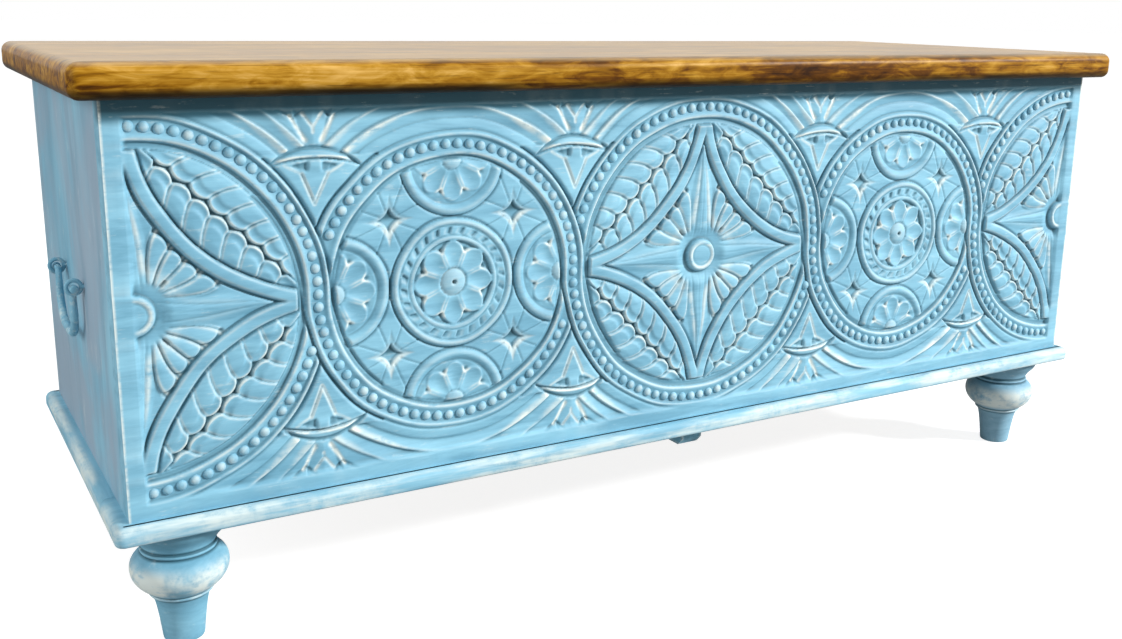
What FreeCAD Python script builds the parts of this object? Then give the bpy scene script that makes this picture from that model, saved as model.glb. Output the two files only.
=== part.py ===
import FreeCAD
import Part

import math
import os
import re

import Sketcher

# A blanket chest: a carved and painted box on turned feet, with a moulded base, a hinged plank lid
# and an iron bail at each end. Z is up, the front faces -Y, and the origin lies on the floor under
# the middle of the lid.

OUT_FOLDER = "parts"

# Every size that can be set by itself, in millimetres.
SIZES = {
    # The carving sets out the front: rings of beads that touch, star and rosette by turns.
    "star_ring_radius": 157.7,
    "star_band_inside": 17.3,
    "star_band_outside": 10.8,
    "rosette_ring_radius": 131.8,
    "rosette_band_inside": 14.8,
    "rosette_band_outside": 12.2,
    "carving_end_margin": 16.0,
    "carving_edge_margin": 13.0,
    "ring_edge_bite": 1.5,
    "relief_depth": 7.0,
    "interlace_gap": 1.6,
    "star_arc_radius": 172.5,
    "star_arc_width": 15.0,
    "star_boss_radius": 19.0,
    "star_ray_width": 15.0,
    "star_ray_reach": 116.0,
    "leaf_margin": 5.0,
    "leaf_groove_width": 7.0,
    "leaf_groove_length": 130.0,
    "rosette_disc_radius": 61.0,
    "rosette_rim_width": 6.0,
    "petal_reach": 38.0,
    "petal_width": 19.0,
    "rosette_boss_radius": 13.0,
    "lunette_radius": 52.0,
    "lunette_band_width": 7.4,
    "spandrel_apex": 84.0,
    "spandrel_shoulder": 117.0,
    "spandrel_half_width": 25.0,
    "cap_half_width": 33.0,
    "cap_bottom": 121.0,
    "cap_height": 12.0,
    # The box.
    "box_depth": 410.0,
    "front_thickness": 24.0,
    "back_thickness": 18.0,
    "side_thickness": 20.0,
    "floor_thickness": 12.0,
    "post_width": 26.0,
    "post_top_gap": 30.0,
    # The lid.
    "lid_thickness": 30.0,
    "lid_front_overhang": 24.0,
    "lid_side_overhang": 24.0,
    "lid_back_overhang": 40.0,
    "lid_edge_flat": 1.0,
    "lid_corner_cut": 13.0,
    "lid_batten_width": 60.0,
    "lid_batten_thickness": 20.0,
    "lid_batten_end_gap": 12.0,
    "lid_batten_inset": 230.0,
    "lid_batten_chamfer": 5.0,
    # The moulded base and the batten under its middle.
    "base_thickness": 17.0,
    "base_overhang": 14.0,
    "base_edge_flat": 1.0,
    "base_corner_cut": 7.5,
    "base_rail_width": 80.0,
    "base_end_rail_width": 64.0,
    "base_middle_rail_width": 70.0,
    "under_batten_width": 26.0,
    "under_batten_depth": 20.0,
    "under_batten_setback": 7.0,
    "under_batten_chamfer": 8.0,
    # The turned feet.
    "foot_height": 121.0,
    "foot_end_inset": 48.0,
    "foot_front_inset": 45.0,
    "foot_toe_radius": 19.0,
    "foot_cone_radius": 24.5,
    "foot_cone_height": 33.0,
    "foot_bead_radius": 28.8,
    "foot_bead_height": 4.0,
    "foot_ball_waist": 27.0,
    "foot_ball_radius": 45.0,
    "foot_ball_height": 60.0,
    "foot_ring_radius": 31.5,
    "foot_ring_height": 6.0,
    "foot_neck_radius": 29.0,
    "foot_collar_radius": 35.0,
    "foot_tenon_width": 20.0,
    "foot_tenon_length": 13.0,
    # The handles: screw eyes and bails.
    "eye_spacing": 107.0,
    "eye_height": 177.0,
    "eye_standoff": 9.0,
    "eye_hole_radius": 4.6,
    "eye_wire_radius": 2.0,
    "eye_shank_width": 4.6,
    "eye_shank_depth": 15.0,
    "bail_drop": 50.0,
    "bail_corner_radius": 27.0,
    "bail_middle_radius": 4.0,
    "bail_end_radius": 3.0,
    "bail_running_gap": 0.3,
    "bail_elbow_radius": 5.0,
    "bail_shoulder_gap": 2.0,
    "bail_tip_bevel": 0.5,
    "bail_tip_length": 3.0,
    "bail_tip_radius": 4.2,
    # The butt hinges behind the back.
    "hinge_length": 76.0,
    "hinge_inset": 170.0,
    "hinge_leaf_width": 20.0,
    "hinge_leaf_thickness": 2.0,
    "hinge_knuckle_radius": 4.0,
    "hinge_pin_radius": 2.2,
    "hinge_pin_clearance": 0.05,
    "hinge_gap": 0.3,
}

# Sizes worked out from those above.
LAYOUT = {
    "ring_pitch": "star_ring_radius + rosette_ring_radius",
    "zone_half_length": "2 * ring_pitch",
    "zone_half_height": "star_ring_radius + star_band_outside - ring_edge_bite",
    "box_half_length": "zone_half_length + carving_end_margin",
    "box_height": "2 * (zone_half_height + carving_edge_margin)",
    "lid_half_length": "box_half_length + lid_side_overhang",
    "lid_depth": "box_depth + lid_front_overhang + lid_back_overhang",
    "front_face": "lid_front_overhang - lid_depth / 2",
    "back_face": "front_face + box_depth",
    "middle_y": "(front_face + back_face) / 2",
    "base_bottom": "foot_height",
    "base_top": "foot_height + base_thickness",
    "lid_bottom": "base_top + box_height",
    "lid_top": "lid_bottom + lid_thickness",
    "carving_centre": "base_top + box_height / 2",
    "ground_face": "front_face + relief_depth",
    "front_inside": "front_face + front_thickness",
    "back_inside": "back_face - back_thickness",
    "side_inside": "box_half_length - side_thickness",
    "inside_depth": "back_inside - front_inside",
    "floor_top": "base_top + floor_thickness",
    "base_half_length": "box_half_length + base_overhang",
    "base_front": "front_face - base_overhang",
    "base_back": "back_face + base_overhang",
    "base_depth": "base_back - base_front",
    "foot_x": "box_half_length - foot_end_inset",
    "foot_front_y": "front_face + foot_front_inset",
    "foot_back_y": "back_face - foot_front_inset",
    "eye_x": "box_half_length + eye_standoff",
    "eye_z": "base_top + eye_height",
    "pivot_z": "eye_z - eye_hole_radius + bail_end_radius + bail_running_gap",
    "bail_half_width": "eye_spacing / 2 - eye_wire_radius - bail_shoulder_gap - bail_elbow_radius",
    "bail_bend_z": "pivot_z - bail_drop + bail_corner_radius",
    "foot_ball_low": "foot_cone_height + foot_bead_height",
    "foot_ball_middle": "foot_ball_low + foot_ball_height / 2",
    "foot_ball_bulge": "foot_ball_radius - foot_ball_waist",
    "foot_ball_arc": "(foot_ball_bulge ^ 2 + (foot_ball_height / 2) ^ 2) / (2 * foot_ball_bulge)",
    "foot_ball_sweep": "asin(foot_ball_height / 2 / foot_ball_arc)",
    "foot_neck_low": "foot_ball_low + foot_ball_height + foot_ring_height",
    "hinge_x": "box_half_length - hinge_inset",
    "hinge_y": "back_face + hinge_knuckle_radius + hinge_gap",
    "hinge_z": "lid_bottom - hinge_knuckle_radius - hinge_gap",
    "hinge_bore_radius": "hinge_pin_radius + hinge_pin_clearance",
    "knuckle_length": "(hinge_length - 2 * hinge_gap) / 3",
    "lid_batten_x": "box_half_length - lid_batten_inset",
}

doc = FreeCAD.newDocument("BlanketChest")
home = {}


def linked(text, own=""):
    """An expression with each size's name preceded by the sheet that holds it."""

    def address(word):
        name = word.group()
        sheet = home.get(name, own)
        return name if sheet == own else sheet + "." + name

    return re.sub(r"[a-z]+(?:_[a-z]+)+", address, text)


def fill_sheets():
    sizes = doc.addObject("Spreadsheet::Sheet", "Sizes")
    layout = doc.addObject("Spreadsheet::Sheet", "Layout")
    for row, (name, number) in enumerate(SIZES.items(), start=1):
        sizes.set(f"A{row}", name)
        sizes.set(f"B{row}", str(number))
        sizes.setAlias(f"B{row}", name)
        home[name] = "Sizes"
    for row, (name, formula) in enumerate(LAYOUT.items(), start=1):
        home[name] = "Layout"
        layout.set(f"A{row}", name)
        layout.set(f"B{row}", "=" + linked(formula, own="Layout"))
        layout.setAlias(f"B{row}", name)
    doc.recompute()


def value(name):
    return float(doc.getObject(home[name]).get(name))


def bind(feature, prop, text):
    feature.setExpression(prop, linked(text))


def place(feature, spot):
    for axis, text in zip("xyz", spot):
        bind(feature, "Placement.Base." + axis, text)


# Turns that lay a cylinder's own Z axis along another axis.
ALONG = {
    "X": FreeCAD.Rotation(FreeCAD.Vector(0, 1, 0), 90),
    "Z": FreeCAD.Rotation(),
}


def add_box(name, low, span):
    feature = doc.addObject("Part::Box", name)
    for prop, text in zip(("Length", "Width", "Height"), span):
        bind(feature, prop, text)
    place(feature, low)
    return feature


def add_cylinder(name, spot, axis, radius, length):
    feature = doc.addObject("Part::Cylinder", name)
    bind(feature, "Radius", radius)
    bind(feature, "Height", length)
    feature.Placement.Rotation = ALONG[axis]
    place(feature, spot)
    return feature


def add_fuse(name, features):
    joined = doc.addObject("Part::MultiFuse", name)
    joined.Shapes = features
    joined.Refine = True
    return joined


def add_cut(name, base, tool):
    rest = doc.addObject("Part::Cut", name)
    rest.Base = base
    rest.Tool = tool
    return rest


def add_common(name, base, tool):
    shared = doc.addObject("Part::Common", name)
    shared.Base = base
    shared.Tool = tool
    return shared


def add_group(name, features):
    group = doc.addObject("Part::Compound", name)
    group.Links = features
    return group


nodes = {}


def keep(node, feature):
    """Mark a feature as a finished piece of the chest."""
    feature.Label = node
    nodes[node] = feature


def sketch_on(body, name, role):
    """A new sketch on one of the body's own origin planes."""
    sketch = body.newObject("Sketcher::SketchObject", name)
    plane = next(feature for feature in body.Origin.OriginFeatures if feature.Role == role)
    sketch.AttachmentSupport = [(plane, "")]
    sketch.MapMode = "FlatFace"
    return sketch


def draw_outline(sketch, corners):
    """A closed outline whose corners are held by the sizes, on the positive side of both axes."""
    count = len(corners)
    guesses = []
    for corner in range(count):
        turn = 2 * math.pi * corner / count
        guesses.append(FreeCAD.Vector(2 + math.cos(turn), 2 + math.sin(turn), 0))
    for start, end in zip(guesses, guesses[1:] + guesses[:1]):
        sketch.addGeometry(Part.LineSegment(start, end))
    for side in range(count):
        sketch.addConstraint(Sketcher.Constraint("Coincident", side, 2, (side + 1) % count, 1))
    for corner, texts in enumerate(corners):
        for kind, axis, text in zip(("DistanceX", "DistanceY"), (-2, -1), texts):
            if text == "0":
                sketch.addConstraint(Sketcher.Constraint("PointOnObject", corner, 1, axis))
            else:
                number = sketch.addConstraint(Sketcher.Constraint(kind, -1, 1, corner, 1, 1.0))
                sketch.setExpression(f"Constraints[{number}]", linked(text))


def nosed_slab(name, low, length, depth, thickness, edge_flat, corner):
    """A slab with its corners cut across and a bullnose run all round."""
    body = doc.addObject("PartDesign::Body", name)
    sketch = sketch_on(body, name + "_outline", "XY_Plane")
    outline = [(corner, "0"), (f"{length} - {corner}", "0"), (length, corner)]
    outline += [(length, f"{depth} - {corner}"), (f"{length} - {corner}", depth), (corner, depth)]
    outline += [("0", f"{depth} - {corner}"), ("0", corner)]
    draw_outline(sketch, outline)
    pad = body.newObject("PartDesign::Pad", name + "_pad")
    pad.Profile = sketch
    bind(pad, "Length", thickness)
    doc.recompute()
    level = [edge.BoundBox.ZLength < edge.Length / 2 for edge in pad.Shape.Edges]
    nose = body.newObject("PartDesign::Fillet", name + "_nose")
    nose.Base = (pad, [f"Edge{number}" for number, flat in enumerate(level, start=1) if flat])
    bind(nose, "Radius", f"({thickness} - {edge_flat}) / 2")
    body.Tip = nose
    place(body, low)
    return body


# The front panel: a board whose middle is sunk, with the raised carving left standing.

# How much of the relief's depth the lower parts of a motif rise, and where a petal is widest.
STAR_LEVEL_SHARE = 0.72
ROSETTE_LEVEL_SHARE = 0.62
SPANDREL_LEVEL_SHARE = 0.7
PETAL_SHOULDER_SHARE = 0.68


# Strokes round a ring, the circle of a star's arc, a boss, a rosette's rim and a lunette.
RING_SIDES = 44
ARC_SIDES = 28
BOSS_SIDES = 12
RIM_SIDES = 24
LUNETTE_SIDES = 16


class CarvedFront:
    """Solids of the raised work, set out from the middle of the front."""

    outward = FreeCAD.Vector(0, -1, 0)

    def __init__(self):
        self.ground = value("ground_face")
        self.centre = value("carving_centre")
        self.relief = value("relief_depth")
        self.half_length = value("zone_half_length")
        self.half_height = value("zone_half_height")
        self.rings = []
        for step in range(-2, 3):
            kind = "rosette" if step % 2 else "star"
            radius = value(kind + "_ring_radius")
            inside = radius - value(kind + "_band_inside")
            outside = radius + value(kind + "_band_outside")
            self.rings.append((step * value("ring_pitch"), kind, radius, inside, outside))

    def point(self, x, z):
        return FreeCAD.Vector(x, self.ground, self.centre + z)

    def disc(self, x, z, radius, sides, rise=1.0):
        """A disc whose rim is cut in straight strokes of the chisel."""
        outline = []
        for side in range(sides):
            turn = 2 * math.pi * (side + 0.5) / sides
            outline.append((x + radius * math.cos(turn), z + radius * math.sin(turn)))
        return self.prism(outline, rise)

    def band(self, x, z, radius, width, sides):
        return self.disc(x, z, radius, sides).cut(self.disc(x, z, radius - width, sides))

    def prism(self, outline, rise=1.0):
        corners = [self.point(x, z) for x, z in outline + outline[:1]]
        return Part.Face(Part.makePolygon(corners)).extrude(self.outward * self.relief * rise)

    def block(self, low, high, rise=1.0):
        (x0, z0), (x1, z1) = low, high
        return self.prism([(x0, z0), (x1, z0), (x1, z1), (x0, z1)], rise)

    def half_disc(self, ring, upper):
        """All that a ring covers on one side of the centre line, and the gap beside it."""
        x, _, _, _, outside = ring
        reach = outside + value("interlace_gap")
        bottom = 0 if upper else -reach
        half = self.block((x - reach, bottom), (x + reach, bottom + reach))
        return self.disc(x, 0, reach, RING_SIDES).common(half)

    def strand(self, number):
        """One ring of the guilloche, stopped where its neighbours pass over it."""
        x, _, _, inside, outside = self.rings[number]
        strand = self.band(x, 0, outside, outside - inside, RING_SIDES)
        if number > 0:
            strand = strand.cut(self.half_disc(self.rings[number - 1], upper=True))
        if number < len(self.rings) - 1:
            strand = strand.cut(self.half_disc(self.rings[number + 1], upper=False))
        return strand

    def star(self, x, inside):
        """Four hollow-sided arcs that make a star, a leaf behind each, and rays round a boss."""
        arc = value("star_arc_radius")
        width = value("star_arc_width")
        margin = value("leaf_margin")
        field = self.disc(x, 0, inside + value("interlace_gap"), RING_SIDES)
        clear = self.disc(x, 0, inside - margin, ARC_SIDES, STAR_LEVEL_SHARE)
        hollow = arc - width / 2
        apart = arc * math.sqrt(2)
        middle = (apart**2 + inside**2 - hollow**2) / (2 * apart) / math.sqrt(2)
        along = value("leaf_groove_length") / 2 / math.sqrt(2)
        across = value("leaf_groove_width") / 2 / math.sqrt(2)
        solids = []
        for side_x, side_z in ((1, 1), (-1, 1), (-1, -1), (1, -1)):
            spot = (x + side_x * arc, side_z * arc)
            solids.append(self.band(*spot, arc + width / 2, width, ARC_SIDES).common(field))
            leaf = self.disc(*spot, hollow - margin, ARC_SIDES, STAR_LEVEL_SHARE).common(clear)
            ends = [(across - along, across + along), (across + along, across - along)]
            ends += [(along - across, -along - across), (-along - across, along - across)]
            groove = [(x + side_x * (middle + a), side_z * (middle + b)) for a, b in ends]
            solids.append(leaf.cut(self.prism(groove)))
        reach = value("star_ray_reach")
        wide = value("star_ray_width") / 2
        for quarter in range(4):
            ray = turned([(0, wide), (reach, 0), (0, -wide)], x, 90 * quarter)
            solids.append(self.prism(ray, STAR_LEVEL_SHARE))
        solids.append(self.disc(x, 0, value("star_boss_radius"), BOSS_SIDES))
        return solids

    def rosette(self, x, inside):
        """A petalled disc inside a rim, and a lunette at each quarter of the ring."""
        rim = value("rosette_disc_radius")
        solids = [self.band(x, 0, rim, value("rosette_rim_width"), RIM_SIDES)]
        reach = value("petal_reach")
        wide = value("petal_width") / 2
        shoulder = reach * PETAL_SHOULDER_SHARE
        for petal in range(8):
            outline = [(0, 0), (shoulder, -wide), (reach, 0), (shoulder, wide)]
            solids.append(self.prism(turned(outline, x, 45 * petal), ROSETTE_LEVEL_SHARE))
        solids.append(self.disc(x, 0, value("rosette_boss_radius"), BOSS_SIDES))
        field = self.disc(x, 0, inside + value("interlace_gap"), RING_SIDES)
        for side_x, side_z in ((1, 0), (0, 1), (-1, 0), (0, -1)):
            spot = (x + side_x * inside, side_z * inside)
            width = value("lunette_band_width")
            lunette = self.band(*spot, value("lunette_radius"), width, LUNETTE_SIDES)
            solids.append(lunette.common(field))
        return solids

    def spandrel(self, x, side):
        """The wedge and the cap that fill the corner over or under a crossing."""
        half = value("spandrel_half_width")
        shoulder = side * value("spandrel_shoulder")
        wedge = [(x, side * value("spandrel_apex")), (x + half, shoulder), (x - half, shoulder)]
        chord = value("cap_half_width")
        rise = value("cap_height")
        radius = (chord**2 + rise**2) / (2 * rise)
        low = value("cap_bottom")
        crown = self.disc(x, side * (low + rise - radius), radius, RIM_SIDES, SPANDREL_LEVEL_SHARE)
        above = self.block((x - chord, side * low), (x + chord, side * (low + rise)))
        return [self.prism(wedge, SPANDREL_LEVEL_SHARE), crown.common(above)]

    def solids(self):
        work = []
        for number, (x, kind, radius, inside, _) in enumerate(self.rings):
            work.append(self.strand(number))
            work += self.star(x, inside) if kind == "star" else self.rosette(x, inside)
            if number:
                before = self.rings[number - 1]
                touch = before[0] + before[2]
                work += self.spandrel(touch, 1) + self.spandrel(touch, -1)
        zone = self.block((-self.half_length, -self.half_height), (self.half_length, self.half_height))
        return [solid for piece in work for solid in piece.common(zone).Solids]


def turned(outline, x, degrees):
    """An outline turned about the middle of a medallion at x."""
    turn = math.radians(degrees)
    return [
        (x + a * math.cos(turn) - b * math.sin(turn), a * math.sin(turn) + b * math.cos(turn))
        for a, b in outline
    ]


def make_front_panel():
    board = add_box(
        "front_board",
        ("-box_half_length", "front_face", "base_top"),
        ("2 * box_half_length", "front_thickness", "box_height"),
    )
    sunk = add_box(
        "sunk_ground",
        ("-zone_half_length", "front_face", "carving_centre - zone_half_height"),
        ("2 * zone_half_length", "relief_depth", "2 * zone_half_height"),
    )
    carving = doc.addObject("Part::Feature", "carving")
    solids = CarvedFront().solids()
    carving.Shape = solids[0].multiFuse(solids[1:])
    keep("front_panel", add_fuse("front_panel_carved", [add_cut("front_ground", board, sunk), carving]))


# The plain walls, the floor inside and the posts that the corners are fixed to.


def make_walls():
    back = add_box(
        "back_board",
        ("-box_half_length", "back_inside", "base_top"),
        ("2 * box_half_length", "back_thickness", "box_height"),
    )
    keep("back_panel", back)
    for end, x in (("left", "-box_half_length"), ("right", "side_inside")):
        side = add_box(
            f"{end}_side_board",
            (x, "front_inside", "base_top"),
            ("side_thickness", "inside_depth", "box_height"),
        )
        keep(f"{end}_side_panel", add_cut(f"{end}_side_drilled", side, eye_shank_holes(end)))


def eye_shank_holes(end):
    """Square holes for the shanks of one end's two eyes."""
    if end == "left":
        low = "-box_half_length"
    else:
        low = "box_half_length - eye_shank_depth"
    holes = []
    for name, way in (("front", "-"), ("back", "+")):
        across = f"middle_y {way} eye_spacing / 2 - eye_shank_width / 2"
        spot = (low, across, "eye_z - eye_shank_width / 2")
        span = ("eye_shank_depth", "eye_shank_width", "eye_shank_width")
        holes.append(add_box(f"{end}_{name}_shank_hole", spot, span))
    return add_group(f"{end}_shank_holes", holes)


def make_floor():
    for number, name in enumerate(("front", "middle", "back")):
        plank = add_box(
            f"floor_plank_{name}",
            ("-side_inside", f"front_inside + {number} * inside_depth / 3", "base_top"),
            ("2 * side_inside", "inside_depth / 3", "floor_thickness"),
        )
        keep(f"floor_board_{name}", plank)


def make_posts():
    height = "box_height - floor_thickness - post_top_gap"
    for end, x in (("left", "-side_inside"), ("right", "side_inside - post_width")):
        for side, y in (("front", "front_inside"), ("back", "back_inside - post_width")):
            post = add_box(f"post_{side}_{end}", (x, y, "floor_top"), ("post_width", "post_width", height))
            keep(f"corner_post_{side}_{end}", post)


# The moulded base: five rails cut from one nosed slab, and a batten under the middle.


def make_base_rails(tenons):
    slab = nosed_slab(
        "base_slab",
        ("-base_half_length", "base_front", "base_bottom"),
        "2 * base_half_length",
        "base_depth",
        "base_thickness",
        "base_edge_flat",
        "base_corner_cut",
    )
    full = "2 * base_half_length"
    inner_y = "base_front + base_rail_width"
    inner_depth = "base_depth - 2 * base_rail_width"
    blanks = {
        "front": ("-base_half_length", "base_front", full, "base_rail_width"),
        "back": ("-base_half_length", "base_back - base_rail_width", full, "base_rail_width"),
        "left": ("-base_half_length", inner_y, "base_end_rail_width", inner_depth),
        "right": ("base_half_length - base_end_rail_width", inner_y, "base_end_rail_width", inner_depth),
        "middle": ("-base_middle_rail_width / 2", inner_y, "base_middle_rail_width", inner_depth),
    }
    for name, (x, y, length, depth) in blanks.items():
        blank = add_box(f"rail_blank_{name}", (x, y, "base_bottom"), (length, depth, "base_thickness"))
        rail = add_common(f"rail_{name}", slab, blank)
        if name in tenons:
            rail = add_cut(f"rail_mortised_{name}", rail, tenons[name])
        keep(f"base_rail_{name}", rail)


def make_under_batten():
    body = doc.addObject("PartDesign::Body", "under_batten_body")
    sketch = sketch_on(body, "under_batten_side", "YZ_Plane")
    length = "box_depth - 2 * under_batten_setback"
    corners = [
        ("under_batten_chamfer", "0"),
        (f"{length} - under_batten_chamfer", "0"),
        (length, "under_batten_chamfer"),
        (length, "under_batten_depth"),
        ("0", "under_batten_depth"),
        ("0", "under_batten_chamfer"),
    ]
    draw_outline(sketch, corners)
    pad = body.newObject("PartDesign::Pad", "under_batten_pad")
    pad.Profile = sketch
    pad.Midplane = True
    bind(pad, "Length", "under_batten_width")
    place(body, ("0", "front_face + under_batten_setback", "base_bottom - under_batten_depth"))
    keep("under_batten", body)


# The turned feet, each with a square tenon that enters the rail above it.

BALL_STEPS = 4


def make_foot(name, x, y):
    """A turned foot: a tapered toe, a thin bead, a ball, a ring, a groove and a flared collar."""
    body = doc.addObject("PartDesign::Body", name + "_body")
    sketch = sketch_on(body, name + "_profile", "XZ_Plane")
    corners = [
        ("0", "0"),
        ("foot_toe_radius", "0"),
        ("foot_cone_radius", "foot_cone_height"),
        ("foot_bead_radius", "foot_cone_height + foot_bead_height / 2"),
    ]
    for step in range(BALL_STEPS + 1):
        turn = f"foot_ball_sweep * {2 * step - BALL_STEPS} / {BALL_STEPS}"
        radius = f"foot_ball_radius - foot_ball_arc * (1 - cos({turn}))"
        corners.append((radius, f"foot_ball_middle + foot_ball_arc * sin({turn})"))
    corners += [
        ("foot_ring_radius", "foot_neck_low - foot_ring_height / 2"),
        ("foot_neck_radius", "foot_neck_low"),
        ("foot_collar_radius", "foot_height"),
        ("0", "foot_height"),
    ]
    draw_outline(sketch, corners)
    turning = body.newObject("PartDesign::Revolution", name + "_turning")
    turning.Profile = sketch
    turning.ReferenceAxis = (sketch, ["V_Axis"])
    turning.Angle = 360
    place(body, (x, y, "0"))
    return body


def make_feet():
    """The four feet in two nodes, and the tenons by the rail that they enter."""
    tenons = {}
    for side, y in (("front", "foot_front_y"), ("back", "foot_back_y")):
        feet = []
        pegs = []
        for end, x in (("left", "-foot_x"), ("right", "foot_x")):
            name = f"foot_{side}_{end}"
            peg = add_box(
                name + "_tenon",
                (f"{x} - foot_tenon_width / 2", f"{y} - foot_tenon_width / 2", "foot_height"),
                ("foot_tenon_width", "foot_tenon_width", "foot_tenon_length"),
            )
            feet.append(add_fuse(name + "_whole", [make_foot(name, x, y), peg]))
            pegs.append(peg)
        keep(f"{side}_feet", add_group(f"feet_{side}", feet))
        tenons[side] = add_group(f"tenons_{side}", pegs)
    return tenons


# The lid: four planks cut from one nosed slab, held flat by two cleats inside.

LID_PLANKS = ("front", "middle_front", "middle_back", "back")


def make_lid():
    slab = nosed_slab(
        "lid_slab",
        ("-lid_half_length", "-lid_depth / 2", "lid_bottom"),
        "2 * lid_half_length",
        "lid_depth",
        "lid_thickness",
        "lid_edge_flat",
        "lid_corner_cut",
    )
    width = f"lid_depth / {len(LID_PLANKS)}"
    for number, name in enumerate(LID_PLANKS):
        strip = add_box(
            f"lid_strip_{name}",
            ("-lid_half_length", f"{number} * {width} - lid_depth / 2", "lid_bottom"),
            ("2 * lid_half_length", width, "lid_thickness"),
        )
        keep(f"lid_board_{name}", add_common(f"lid_plank_{name}", slab, strip))
    for end, x in (("left", "-lid_batten_x"), ("right", "lid_batten_x")):
        keep(f"lid_batten_{end}", make_lid_batten(end, x))


def make_lid_batten(end, x):
    """A cleat across the planks, chamfered round its lower face."""
    low = (f"{x} - lid_batten_width / 2", "front_inside + lid_batten_end_gap")
    plank = add_box(
        f"lid_cleat_{end}",
        (*low, "lid_bottom - lid_batten_thickness"),
        ("lid_batten_width", "inside_depth - 2 * lid_batten_end_gap", "lid_batten_thickness"),
    )
    doc.recompute()
    eased = doc.addObject("Part::Chamfer", f"lid_cleat_eased_{end}")
    eased.Base = plank
    size = value("lid_batten_chamfer")
    floor = plank.Shape.BoundBox.ZMin
    edges = enumerate(plank.Shape.Edges, start=1)
    eased.Edges = [(number, size, size) for number, edge in edges if edge.BoundBox.ZMax < floor + size]
    return eased


# The handles. Eyes and bails are hammered bars with flat facets.

BAR_SIDES = 8
EYE_WIRE_SIDES = 6
EYE_BENDS = 8
CORNER_STEPS = 4
ELBOW_STEPS = 2


def hammered(rings, closed):
    """A solid skinned with triangles from each ring of points to the next."""
    faces = []
    pairs = list(zip(rings, rings[1:]))
    if closed:
        pairs.append((rings[-1], rings[0]))
    else:
        faces += [Part.Face(Part.makePolygon(ring + ring[:1])) for ring in (rings[0], rings[-1])]
    for near, far in pairs:
        for a, b, c, d in zip(near, near[1:] + near[:1], far, far[1:] + far[:1]):
            faces += [Part.Face(Part.makePolygon(corners)) for corners in ((a, b, d, a), (a, d, c, a))]
    solid = Part.Solid(Part.Shell(faces))
    if solid.Volume < 0:
        solid.reverse()
    return solid


def bar_ring(x, y, z, slope, radius):
    """Points round a bar that runs in a YZ plane at the given slope."""
    up = FreeCAD.Vector(0, -math.sin(slope), math.cos(slope))
    points = []
    for side in range(BAR_SIDES):
        turn = 2 * math.pi * (side + 0.5) / BAR_SIDES
        points.append(FreeCAD.Vector(x + radius * math.cos(turn), y, z) + up * radius * math.sin(turn))
    return points


def make_bail(end, side):
    """A forged bail: out-turned ends with upset tips, two tapered legs, round corners and a grip."""
    x = side * value("eye_x")
    pivot = value("pivot_z")
    thin = value("bail_end_radius")
    thick = value("bail_middle_radius")
    half = value("bail_half_width")
    elbow = value("bail_elbow_radius")
    corner = value("bail_corner_radius")
    bend = value("bail_bend_z")
    stop = value("eye_spacing") / 2 + value("eye_wire_radius") + value("bail_running_gap")
    bevel = stop + value("bail_tip_bevel")
    path = [
        (bevel + value("bail_tip_length"), pivot, 0, thin),
        (bevel, pivot, 0, value("bail_tip_radius")),
        (stop, pivot, 0, thin),
    ]
    for step in range(ELBOW_STEPS + 1):
        turn = math.pi / 2 * step / ELBOW_STEPS
        across = half + elbow * (1 - math.sin(turn))
        path.append((across, pivot - elbow * (1 - math.cos(turn)), -turn, thin))
    for step in range(CORNER_STEPS + 1):
        turn = math.pi / 2 * (1 - step / CORNER_STEPS)
        path.append((half - corner * (1 - math.sin(turn)), bend - corner * math.cos(turn), turn, thick))
    middle = value("middle_y")
    rings = [bar_ring(x, middle - y, z, slope, radius) for y, z, slope, radius in path]
    rings += [bar_ring(x, middle + y, z, -slope, radius) for y, z, slope, radius in reversed(path)]
    bail = doc.addObject("Part::Feature", f"{end}_bail_forging")
    bail.Shape = hammered(rings, closed=False)
    keep(f"{end}_bail", bail)


def make_eyes(end, side):
    """Two eyes: a ring of wire across each end of the bail, and a shank driven into the panel."""
    wire = value("eye_wire_radius")
    ring_radius = value("eye_hole_radius") + wire
    mitre = math.cos(math.pi / EYE_BENDS)
    flats = wire / math.cos(math.pi / EYE_WIRE_SIDES)
    eyes = []
    for name, way in (("front", "-"), ("back", "+")):
        y = value("middle_y") + float(way + "1") * value("eye_spacing") / 2
        middle = FreeCAD.Vector(side * value("eye_x"), y, value("eye_z"))
        rings = []
        for bend in range(EYE_BENDS):
            turn = 2 * math.pi * (bend + 0.5) / EYE_BENDS - math.pi / 2
            out = FreeCAD.Vector(math.cos(turn), 0, math.sin(turn))
            ring = []
            for flat in range(EYE_WIRE_SIDES):
                lean = 2 * math.pi * (flat + 0.5) / EYE_WIRE_SIDES
                reach = (ring_radius + flats * math.cos(lean)) / mitre
                ring.append(middle + out * reach + FreeCAD.Vector(0, flats * math.sin(lean), 0))
            rings.append(ring)
        eye = doc.addObject("Part::Feature", f"{end}_{name}_eye_ring")
        eye.Shape = hammered(rings, closed=True)
        stand = "(eye_standoff - eye_hole_radius - eye_wire_radius)"
        low = "box_half_length - eye_shank_depth" if side > 0 else f"-box_half_length - {stand}"
        level = ("eye_z - eye_shank_width / 2", "eye_shank_width")
        shank = add_box(
            f"{end}_{name}_eye_shank",
            (low, f"middle_y {way} eye_spacing / 2 - eye_shank_width / 2", level[0]),
            (f"eye_shank_depth + {stand}", "eye_shank_width", level[1]),
        )
        eyes.append(add_fuse(f"{end}_{name}_eye", [eye, shank]))
    keep(f"{end}_handle_eyes", add_group(f"{end}_eyes", eyes))


# The butt hinges: a leaf down the back that holds the riveted pin, and a leaf under the lid.


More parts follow.
